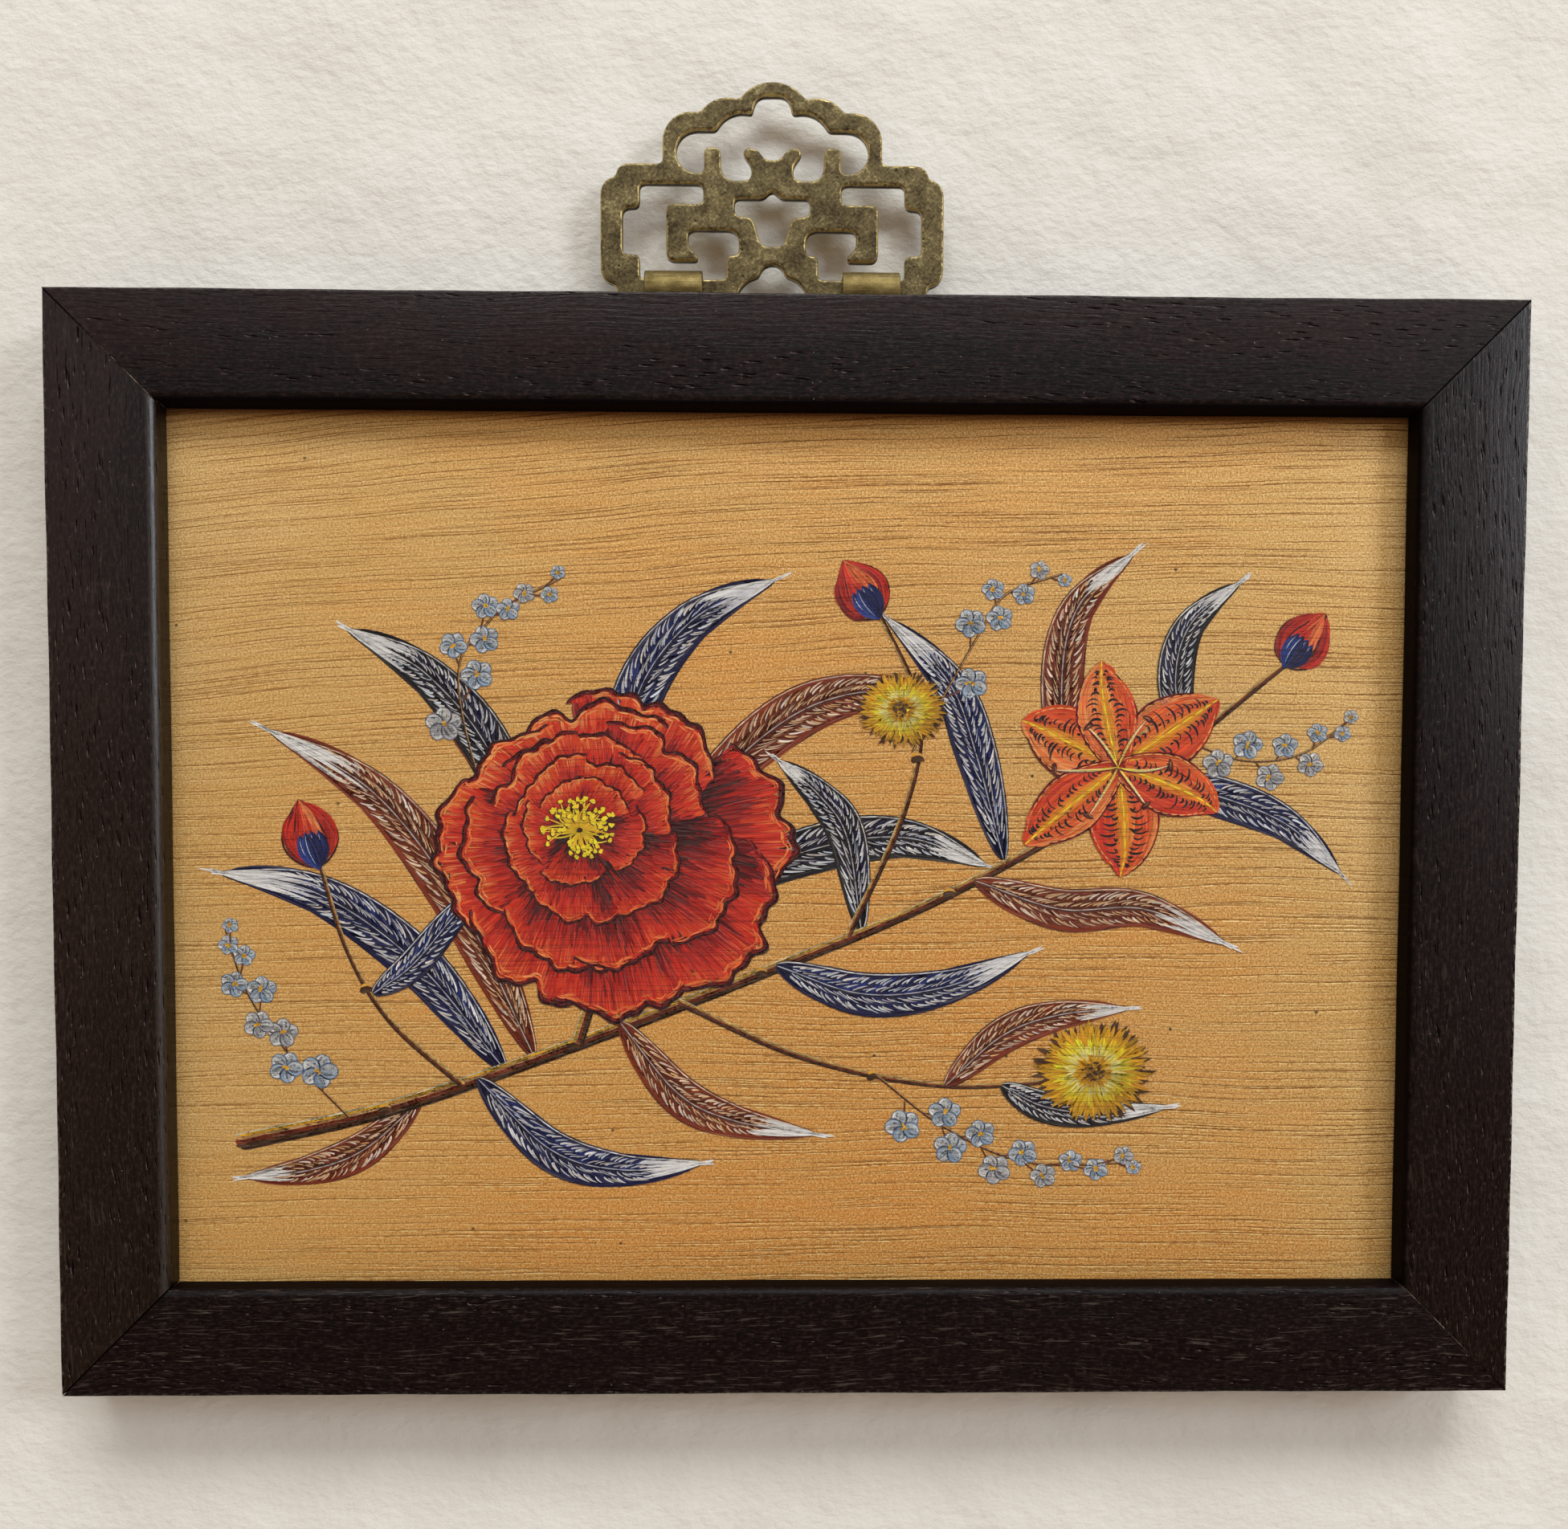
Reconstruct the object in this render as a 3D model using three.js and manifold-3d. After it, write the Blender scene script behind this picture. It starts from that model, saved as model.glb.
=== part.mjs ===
// A small picture in a mitred, black-stained wood frame round a gold-painted wood panel.
// It hangs from a pierced antique-brass plate, which turns in two rolled brass straps on the
// back of the top rail.
// Millimetres, +Z up, the picture's front faces -Y and +X is the viewer's right.
// The origin is the hanging seat: the underside of the plate's top arch, halfway through the
// plate's thickness.

import * as THREE from 'three';
import { mergeVertices } from 'three/addons/utils/BufferGeometryUtils.js';
import Module from 'manifold-3d';

const wasm = await Module();
wasm.setup();

// Frame and panel
const PANEL_WIDTH = 178; // a standard 7 by 5 inch panel
const PANEL_HEIGHT = 127.4;
const PANEL_THICK = 3;
const LIP = 3; // how far the rails cover the panel's edge
const RAIL_FACE = 15; // width of a rail's front face
const RAIL_DEPTH = 11;
const BEAD = 1.1; // radius of the rail's rounded inner edge
const LIP_THICK = 4.5; // from the rail's front face to the back of its lip
const ARRIS = 0.3; // chamfer on the rail's outer edges
const BACKING_THICK = 2;
const GAP = 0.3; // between pieces that touch
const PICTURE_WIDTH = PANEL_WIDTH - 2 * LIP + 2 * RAIL_FACE;
const PICTURE_HEIGHT = PANEL_HEIGHT - 2 * LIP + 2 * RAIL_FACE;

// Hanging plate
const PLATE_THICK = 1.5;
const PLATE_EDGE = 0.2; // rounding along all the plate's edges
const SEAT_ABOVE_HINGE = 26.65; // from the bar's centre to the underside of the top arch
const PLATE_HALF_WIDTH = 24.1;
const BAR_HALF_HEIGHT = 1.35;

// Straps
const STRAP_OFFSET = 13.85; // from the middle to each strap's centre
const STRAP_WIDTH = 8.15;
const STRAP_THICK = 0.6;
const KNUCKLE_BORE = 1.95; // radius that the bar turns in
const KNUCKLE_TURN = 295; // degrees that the strap is rolled round
const STRAP_REACH = 14; // from the bar's centre down to the strap's end
const STRAP_CORNER = 1.5;
const SCREW_DROP = 10; // from the bar's centre down to the screw
const SCREW_HEAD_RADIUS = 2;
const SCREW_HEAD_THICK = 0.8;
const SCREW_SHANK_RADIUS = 0.8;
const SCREW_SHANK_LENGTH = 6;
const SCREW_SLOT = 0.5;

// Where the pieces sit
const HINGE_Z = -SEAT_ABOVE_HINGE;
const HINGE_ABOVE_FRAME = 3.3; // from the frame's top edge up to the bar's centre
const PICTURE_MIDDLE_X = 2.7; // the plate is fixed a little left of the picture's middle
const PICTURE_TOP = HINGE_Z - HINGE_ABOVE_FRAME;
const PICTURE_MIDDLE = PICTURE_TOP - PICTURE_HEIGHT / 2;
const PICTURE_BACK = KNUCKLE_BORE - GAP;
const PICTURE_FRONT = PICTURE_BACK - RAIL_DEPTH;
const REBATE = RAIL_FACE - LIP - GAP; // from the rail's outer edge to its rebate wall
const PANEL_FRONT = PICTURE_FRONT + LIP_THICK + GAP;
const BACKING_FRONT = PANEL_FRONT + PANEL_THICK + GAP;
const BACKING_BACK = BACKING_FRONT + BACKING_THICK;
const STRAP_BACK = KNUCKLE_BORE + STRAP_THICK;

// Small parts of the back
const TAB_LENGTH = 11;
const TAB_WIDTH = 6;
const TAB_THICK = 0.4;
const TAB_OFFSET_X = 45; // from the middle, along the top and bottom rails
const TAB_OFFSET_Z = 30; // from the middle, along the side rails
const PAD_RADIUS = 4;
const PAD_THICK = 2;
const PAD_ARRIS = 0.3;
const PAD_INSET_X = 17; // from the frame's side to the pad's centre

const antiqueBrass = new THREE.MeshStandardMaterial({ color: 0x6a5a38, roughness: 0.42, metalness: 0.9 });
const satinBrass = new THREE.MeshStandardMaterial({ color: 0xa0874b, roughness: 0.35, metalness: 0.95 });
const blackWood = new THREE.MeshStandardMaterial({ color: 0x1c1615, roughness: 0.5, metalness: 0 });
const goldPaint = new THREE.MeshStandardMaterial({ color: 0xb08750, roughness: 0.45, metalness: 0.35 });
const hardboard = new THREE.MeshStandardMaterial({ color: 0x6b4a2f, roughness: 0.8, metalness: 0 });
const zincSteel = new THREE.MeshStandardMaterial({ color: 0x9a9a98, roughness: 0.4, metalness: 0.9 });
const padRubber = new THREE.MeshStandardMaterial({ color: 0x2b2826, roughness: 0.8, metalness: 0 });

const picture = new THREE.Group();

function addPart(name, geometry, material) {
  const mesh = new THREE.Mesh(geometry, material);
  mesh.name = name;
  picture.add(mesh);
  return mesh;
}

// A closed geometry as a solid that can be cut.
function toSolid(geometry) {
  const bare = geometry.clone();
  for (const name of Object.keys(bare.attributes)) {
    if (name !== 'position') bare.deleteAttribute(name);
  }
  const merged = mergeVertices(bare, 1e-4);
  const vertProperties = Float32Array.from(merged.attributes.position.array);
  const triVerts = Uint32Array.from(merged.index.array);
  return new wasm.Manifold(new wasm.Mesh({ numProp: 3, vertProperties, triVerts }));
}

function toGeometry(solid) {
  const mesh = solid.getMesh();
  const geometry = new THREE.BufferGeometry();
  geometry.setAttribute('position', new THREE.BufferAttribute(mesh.vertProperties, 3));
  geometry.setIndex(new THREE.BufferAttribute(mesh.triVerts, 1));
  geometry.computeVertexNormals();
  return geometry;
}

// Turns a geometry's own axes on to the three directions given.
function turned(geometry, alongX, alongY, alongZ) {
  return geometry.applyMatrix4(new THREE.Matrix4().makeBasis(alongX, alongY, alongZ));
}

const X = new THREE.Vector3(1, 0, 0);
const Y = new THREE.Vector3(0, 1, 0);
const Z = new THREE.Vector3(0, 0, 1);

// Points of an arc from a to b that stands out by rise on the left of the way from a to b.
function arc(a, b, rise, steps) {
  const [dx, dz] = [b[0] - a[0], b[1] - a[1]];
  const half = Math.hypot(dx, dz) / 2;
  const radius = (half * half + rise * rise) / (2 * rise);
  const [leftX, leftZ] = [-dz / (2 * half), dx / (2 * half)];
  const centreX = (a[0] + b[0]) / 2 - leftX * (radius - rise);
  const centreZ = (a[1] + b[1]) / 2 - leftZ * (radius - rise);
  const start = Math.atan2(a[1] - centreZ, a[0] - centreX);
  const sweep = -4 * Math.atan(rise / half);
  return Array.from({ length: steps + 1 }, (_, i) => {
    const angle = start + (sweep * i) / steps;
    return [centreX + Math.abs(radius) * Math.cos(angle), centreZ + Math.abs(radius) * Math.sin(angle)];
  });
}

// A closed outline with each corner that has a radius turned into an arc.
function rounded(corners, steps = 4) {
  const points = [];
  corners.forEach(([x, z, radius = 0], i) => {
    const before = corners[(i + corners.length - 1) % corners.length];
    const after = corners[(i + 1) % corners.length];
    const corner = new THREE.Vector2(x, z);
    if (radius === 0) {
      points.push(corner);
      return;
    }
    const toBefore = new THREE.Vector2(before[0] - x, before[1] - z);
    const toAfter = new THREE.Vector2(after[0] - x, after[1] - z);
    const room = Math.min(
      toBefore.length() * (before[2] ? 0.49 : 0.95),
      toAfter.length() * (after[2] ? 0.49 : 0.95),
    );
    toBefore.normalize();
    toAfter.normalize();
    const halfAngle = Math.acos(THREE.MathUtils.clamp(toBefore.dot(toAfter), -1, 1)) / 2;
    const setBack = Math.min(radius / Math.tan(halfAngle), room);
    const toCentre = setBack / Math.cos(halfAngle);
    const middle = toBefore.clone().add(toAfter).normalize();
    const centre = corner.clone().addScaledVector(middle, toCentre);
    const first = corner.clone().addScaledVector(toBefore, setBack).sub(centre);
    const last = corner.clone().addScaledVector(toAfter, setBack).sub(centre);
    const turn = Math.atan2(first.cross(last), first.dot(last));
    for (let step = 0; step <= steps; step += 1) {
      points.push(first.clone().rotateAround(new THREE.Vector2(), (turn * step) / steps).add(centre));
    }
  });
  return points;
}

// The whole outline from its right half, which starts and ends on the middle line.
function mirrored(half) {
  const other = half.slice(1, -1).reverse().map(([x, z, radius]) => [-x, z, radius]);
  return [...half, ...other];
}

// The plate's outlines. Each is the right half as [x, height above the hinge, corner radius].
function plateOutside() {
  const shoulder = [21.95, 15.4];
  const side = [PLATE_HALF_WIDTH, 13.3];
  const foot = [PLATE_HALF_WIDTH, 2.55];
  const heel = [21.95, 0.5];
  return [
    ...arc([-4.7, 26.15], [4.7, 26.15], 2.45, 16).slice(8),
    ...arc([4.7, 26.15], [10.2, 24.3], 1.0, 7).slice(1),
    ...arc([10.2, 24.3], [15.4, 20.85], 1.45, 8).slice(1),
    [15.4, 17.25, 0.4],
    [21.95, 17.25, 1.6],
    ...arc(shoulder, side, 0.6, 5),
    ...arc(foot, heel, 0.6, 5),
    [21.95, -BAR_HALF_HEIGHT, 1.6],
    [4.9, -BAR_HALF_HEIGHT, 0.35],
    ...arc([4.9, -1.0], [1.8, 1.75], -0.65, 6),
    ...arc([1.8, 1.75], [-1.8, 1.75], -1.75, 12).slice(1, 7),
  ];
}

function archOpening() {
  return [
    [0, SEAT_ABOVE_HINGE],
    [2.2, SEAT_ABOVE_HINGE, 1.4],
    [2.85, 24.1],
    ...arc([2.85, 24.1], [7.85, 21.85], 1.1, 7).slice(1),
    ...arc([10.4, 21.85], [10.7, 15.95], 2.95, 12),
    [9.6, 15.95, 0.6],
    [9.6, 19.55, 0.5],
    [7.25, 19.55, 0.6],
    [7.15, 15.0, 1.65],
    [2.95, 15.0, 0.8],
    [2.95, 17.05, 1.2],
    [4.8, 19.5, 0.75],
    [2.25, 19.5, 1.2],
    [1.0, 17.85, 1.0],
    [0, 17.85],
  ];
}

function middleOpening() {
  return [
    [0, 13.8, 0.4],
    [1.25, 12.55, 0.4],
    [5.3, 12.55, 0.35],
    [5.3, 10.05, 0.8],
    [2.75, 10.0, 0.9],
    [1.55, 5.95, 0.9],
    [0, 5.95],
  ];
}

// The opening on one side, which winds round the hooked fret.
function sideOpening(side) {
  const right = [
    [18.6, 14.5, 0.4],
    [9.7, 14.5, 0.6],
    [9.7, 11.75, 0.35],
    [14.9, 11.75, 0.6],
    [14.9, 3.85, 0.9],
    [10.3, 3.85, 0.32],
    [10.4, 4.52, 0.32],
    [11.8, 5.8, 1.0],
    [11.8, 8.15, 0.6],
    [4.7, 8.15, 1.4],
    [4.7, 4.7, 0.4],
    [6.45, 4.7, 0.45],
    [6.45, BAR_HALF_HEIGHT, 0.35],
    [18.6, BAR_HALF_HEIGHT, 0.35],
    [18.6, 4.75, 0.5],
    [21.0, 4.75, 0.5],
    [21.0, 11.15, 0.7],
    [18.6, 11.15, 0.7],
  ];
  return right.map(([x, z, radius]) => [side * x, z, radius]);
}

function hangerPlate() {
  const shape = new THREE.Shape(rounded(mirrored(plateOutside())).reverse());
  for (const opening of [mirrored(archOpening()), mirrored(middleOpening()), sideOpening(1), sideOpening(-1)]) {
    shape.holes.push(new THREE.Path(rounded(opening)));
  }
  const plate = new THREE.ExtrudeGeometry(shape, {
    depth: PLATE_THICK - 2 * PLATE_EDGE,
    bevelThickness: PLATE_EDGE,
    bevelSize: PLATE_EDGE,
    bevelOffset: -PLATE_EDGE,
    bevelSegments: 2,
  });
  plate.translate(0, HINGE_Z, -(PLATE_THICK / 2 - PLATE_EDGE));
  addPart('hanger_plate', turned(plate, X, Z, Y.clone().negate()), antiqueBrass);
}

// A strap is sheet rolled round the bar, with its leaf down the back of the top rail.
function strap(name, centreX) {
  const section = new THREE.Shape();
  const end = THREE.MathUtils.degToRad(KNUCKLE_TURN);
  section.moveTo(KNUCKLE_BORE, -STRAP_REACH);
  section.lineTo(STRAP_BACK, -STRAP_REACH);
  section.lineTo(STRAP_BACK, 0);
  section.absarc(0, 0, STRAP_BACK, 0, end, false);
  section.absarc(0, 0, KNUCKLE_BORE, end, 0, true);
  const rolled = new THREE.ExtrudeGeometry(section, { depth: STRAP_WIDTH, bevelEnabled: false, curveSegments: 28 });
  rolled.translate(0, HINGE_Z, centreX - STRAP_WIDTH / 2);
  turned(rolled, Y, Z, X);

  const top = HINGE_Z + 2 * STRAP_BACK;
  const bottom = HINGE_Z - STRAP_REACH;
  const [left, right] = [centreX - STRAP_WIDTH / 2, centreX + STRAP_WIDTH / 2];
  const leafOutline = rounded([
    [left, top],
    [left, bottom, STRAP_CORNER],
    [right, bottom, STRAP_CORNER],
    [right, top],
  ]);
  const leafDepth = 4 * STRAP_BACK;
  const trim = new THREE.ExtrudeGeometry(new THREE.Shape(leafOutline), { depth: leafDepth, bevelEnabled: false });
  trim.translate(0, 0, -leafDepth / 2);
  turned(trim, X, Z, Y.clone().negate());

  const solid = toSolid(rolled).intersect(toSolid(trim)).subtract(toSolid(screwHole(centreX)));
  addPart(name, toGeometry(solid), satinBrass);
}

// Round the screw's shank, through the strap and into the top rail.
function screwHole(centreX) {
  const radius = SCREW_SHANK_RADIUS + GAP;
  const start = STRAP_BACK + GAP;
  const depth = GAP + SCREW_SHANK_LENGTH + GAP;
  const hole = new THREE.CylinderGeometry(radius, radius, depth, 20);
  return hole.translate(centreX, start - depth / 2, HINGE_Z - SCREW_DROP);
}

function strapScrew(name, centreX) {
  const profile = [
    [0, -SCREW_SHANK_LENGTH],
    [SCREW_SHANK_RADIUS, -SCREW_SHANK_LENGTH + 1.5],
    [SCREW_SHANK_RADIUS, 0],
    [SCREW_HEAD_RADIUS, 0],
    [SCREW_HEAD_RADIUS, 0.35 * SCREW_HEAD_THICK],
    [0.85 * SCREW_HEAD_RADIUS, 0.7 * SCREW_HEAD_THICK],
    [0.5 * SCREW_HEAD_RADIUS, 0.95 * SCREW_HEAD_THICK],
    [0, SCREW_HEAD_THICK],
  ].map(([r, y]) => new THREE.Vector2(r, y));
  const screw = new THREE.LatheGeometry(profile, 24);
  const slot = new THREE.BoxGeometry(3 * SCREW_HEAD_RADIUS, SCREW_HEAD_THICK, SCREW_SLOT);
  slot.translate(0, SCREW_HEAD_THICK, 0);
  slot.rotateY(THREE.MathUtils.degToRad(centreX > 0 ? 25 : -50));
  const geometry = toGeometry(toSolid(screw).subtract(toSolid(slot)));
  geometry.translate(centreX, STRAP_BACK + GAP, HINGE_Z - SCREW_DROP);
  addPart(name, geometry, satinBrass);
}

// A rail's section: distance in from the outer edge, and distance back from the front face.
function railSection() {
  const section = new THREE.Shape();
  section.moveTo(ARRIS, 0);
  section.lineTo(0, ARRIS);
  section.lineTo(0, RAIL_DEPTH - ARRIS);
  section.lineTo(ARRIS, RAIL_DEPTH);
  section.lineTo(REBATE, RAIL_DEPTH);
  section.lineTo(REBATE, LIP_THICK);
  section.lineTo(RAIL_FACE, LIP_THICK);
  section.lineTo(RAIL_FACE, BEAD);
  section.absarc(RAIL_FACE - BEAD, BEAD, BEAD, 0, -Math.PI / 2, true);
  return section;
}

// One rail of the given length, mitred at both ends, as the top rail lies. Its ends stop
// half a gap short of the mitre lines.
function railGeometry(length) {
  const rail = new THREE.ExtrudeGeometry(railSection(), { depth: 1, bevelEnabled: false, curveSegments: 6 });
  const place = rail.attributes.position;
  for (let i = 0; i < place.count; i += 1) {
    const inward = place.getX(i);
    const span = length - 2 * inward - GAP * Math.SQRT2;
    place.setXYZ(i, (place.getZ(i) - 0.5) * span, PICTURE_FRONT + place.getY(i), -inward);
  }
  return rail;
}

function rails() {
  const middle = new THREE.Vector3(PICTURE_MIDDLE_X, 0, PICTURE_MIDDLE);
  const spots = [
    ['rail_top', PICTURE_WIDTH, PICTURE_HEIGHT / 2, 0],
    ['rail_bottom', PICTURE_WIDTH, PICTURE_HEIGHT / 2, 180],
    ['rail_left', PICTURE_HEIGHT, PICTURE_WIDTH / 2, -90],
    ['rail_right', PICTURE_HEIGHT, PICTURE_WIDTH / 2, 90],
  ];
  for (const [name, length, reach, angle] of spots) {
    let geometry = railGeometry(length).translate(0, 0, reach);
    geometry.rotateY(THREE.MathUtils.degToRad(angle)).translate(middle.x, middle.y, middle.z);
    if (name === 'rail_top') {
      const pilots = [-STRAP_OFFSET, STRAP_OFFSET].map((x) => toSolid(screwHole(x)));
      geometry = toGeometry(toSolid(geometry).subtract(pilots[0]).subtract(pilots[1]));
    }
    addPart(name, geometry, blackWood);
  }
}

function board(name, thick, front, material) {
  const geometry = new THREE.BoxGeometry(PANEL_WIDTH, thick, PANEL_HEIGHT);
  addPart(name, geometry.translate(PICTURE_MIDDLE_X, front + thick / 2, PICTURE_MIDDLE), material);
}

// A thin steel tab that reaches from the rebate wall over the backing board.
function tab(name, offset, reach, angle) {
  const outline = rounded([
    [-TAB_WIDTH / 2, 0],
    [TAB_WIDTH / 2, 0],
    [TAB_WIDTH / 2, -TAB_LENGTH, TAB_WIDTH / 2],
    [-TAB_WIDTH / 2, -TAB_LENGTH, TAB_WIDTH / 2],
  ]);
  const geometry = new THREE.ExtrudeGeometry(new THREE.Shape(outline), { depth: TAB_THICK, bevelEnabled: false });
  turned(geometry, X, Z, Y.clone().negate());
  geometry.translate(offset, BACKING_BACK + GAP + TAB_THICK, reach - GAP);
  geometry.rotateY(THREE.MathUtils.degToRad(angle)).translate(PICTURE_MIDDLE_X, 0, PICTURE_MIDDLE);
  addPart(name, geometry, zincSteel);
}

function tabs() {
  const toRebateZ = PICTURE_HEIGHT / 2 - REBATE;
  const toRebateX = PICTURE_WIDTH / 2 - REBATE;
  for (const [end, offset] of [['a', -1], ['b', 1]]) {
    tab(`tab_top_${end}`, offset * TAB_OFFSET_X, toRebateZ, 0);
    tab(`tab_bottom_${end}`, offset * TAB_OFFSET_X, toRebateZ, 180);
    tab(`tab_left_${end}`, offset * TAB_OFFSET_Z, toRebateX, -90);
    tab(`tab_right_${end}`, offset * TAB_OFFSET_Z, toRebateX, 90);
  }
}

// The pads that keep the lower corners off the wall, level with the straps' side.
function wallPad(name, side) {
  const profile = [
    [0, 0],
    [PAD_RADIUS, 0],
    [PAD_RADIUS, PAD_THICK - PAD_ARRIS],
    [PAD_RADIUS - PAD_ARRIS, PAD_THICK],
    [0, PAD_THICK],
  ].map(([r, y]) => new THREE.Vector2(r, y));
  const geometry = new THREE.LatheGeometry(profile, 32);
  const x = PICTURE_MIDDLE_X + side * (PICTURE_WIDTH / 2 - PAD_INSET_X);
  const z = PICTURE_TOP - PICTURE_HEIGHT + REBATE / 2;
  addPart(name, geometry.translate(x, PICTURE_BACK + GAP, z), padRubber);
}

hangerPlate();
for (const [end, side] of [['left', -1], ['right', 1]]) {
  strap(`strap_${end}`, side * STRAP_OFFSET);
  strapScrew(`strap_screw_${end}`, side * STRAP_OFFSET);
  wallPad(`wall_pad_${end}`, side);
}
rails();
board('gold_panel', PANEL_THICK, PANEL_FRONT, goldPaint);
board('backing_board', BACKING_THICK, BACKING_FRONT, hardboard);
tabs();

export default picture;
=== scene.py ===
"""A small painted panel in a black-stained frame, hung from a pierced brass plate.

The solids come packed, and every piece here is worked out in millimetres in their frame:
x to the viewer's right, y away from the viewer, z up, with nought at the hanging seat.
"""

import math

import bmesh
import bpy
import numpy as np
from mathutils import Euler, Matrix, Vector
from mathutils.geometry import delaunay_2d_cdt


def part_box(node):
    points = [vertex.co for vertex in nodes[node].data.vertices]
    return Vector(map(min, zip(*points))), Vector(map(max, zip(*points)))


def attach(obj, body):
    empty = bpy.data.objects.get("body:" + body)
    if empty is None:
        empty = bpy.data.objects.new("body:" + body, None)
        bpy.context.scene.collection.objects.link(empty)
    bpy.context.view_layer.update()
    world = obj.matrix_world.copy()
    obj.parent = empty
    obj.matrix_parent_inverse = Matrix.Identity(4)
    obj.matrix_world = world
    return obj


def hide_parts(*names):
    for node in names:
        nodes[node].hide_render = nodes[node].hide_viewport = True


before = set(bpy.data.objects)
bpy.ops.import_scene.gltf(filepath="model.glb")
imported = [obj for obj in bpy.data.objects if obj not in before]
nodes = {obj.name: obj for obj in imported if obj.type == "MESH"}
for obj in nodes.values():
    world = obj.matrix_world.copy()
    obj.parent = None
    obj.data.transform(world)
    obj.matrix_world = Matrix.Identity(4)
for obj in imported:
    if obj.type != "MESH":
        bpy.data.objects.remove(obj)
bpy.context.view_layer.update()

MM = 0.001
IMAGE = (1952, 1904)


def box_mm(node):
    """The node's lowest and highest corners in millimetres."""
    return [np.array(corner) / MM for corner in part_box(node)]


# Places read from the solids
RAIL_TOP = box_mm("rail_top")
RAIL_LOW = box_mm("rail_bottom")
RAIL_LEFT = box_mm("rail_left")
RAIL_RIGHT = box_mm("rail_right")
PANEL_LOW, PANEL_HIGH = box_mm("gold_panel")
PLATE_LOW, PLATE_HIGH = box_mm("hanger_plate")
MIDDLE_X = (RAIL_LEFT[0][0] + RAIL_RIGHT[1][0]) / 2
OUTER_HALF = (RAIL_RIGHT[1][0] - RAIL_LEFT[0][0]) / 2
OUTER_TOP = RAIL_TOP[1][2]
OUTER_LOW = RAIL_LOW[0][2]
OUTER_HALF_HIGH = (OUTER_TOP - OUTER_LOW) / 2
MIDDLE_Z = (OUTER_TOP + OUTER_LOW) / 2
FRONT_Y = RAIL_TOP[0][1]
BACK_Y = RAIL_TOP[1][1]
RAIL_FACE = RAIL_TOP[1][2] - RAIL_TOP[0][2]
PANEL_FRONT = PANEL_LOW[1]
# Half the panel's seen width and height, and how far a dressed face lies behind its solid's
SEEN_HALF = (86.0, 61.0)
BEHIND_SOLID = 0.02


def srgb(red, green, blue):
    """A display colour of 0 to 255 as the linear colour that shaders take."""
    part = np.array([red, green, blue]) / 255
    linear = np.where(part <= 0.04045, part / 12.92, ((part + 0.055) / 1.055) ** 2.4)
    return (*[float(c) for c in linear], 1.0)


class Value:
    """A node's output. Arithmetic on values adds Math nodes."""

    def __init__(self, finish, socket):
        self.finish = finish
        self.socket = socket

    def __add__(self, other):
        return self.finish.sum("ADD", self, other)

    def __sub__(self, other):
        return self.finish.sum("SUBTRACT", self, other)

    def __rsub__(self, other):
        return self.finish.sum("SUBTRACT", other, self)

    def __mul__(self, other):
        return self.finish.sum("MULTIPLY", self, other)

    def __truediv__(self, other):
        return self.finish.sum("DIVIDE", self, other)

    __radd__ = __add__
    __rmul__ = __mul__


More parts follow.
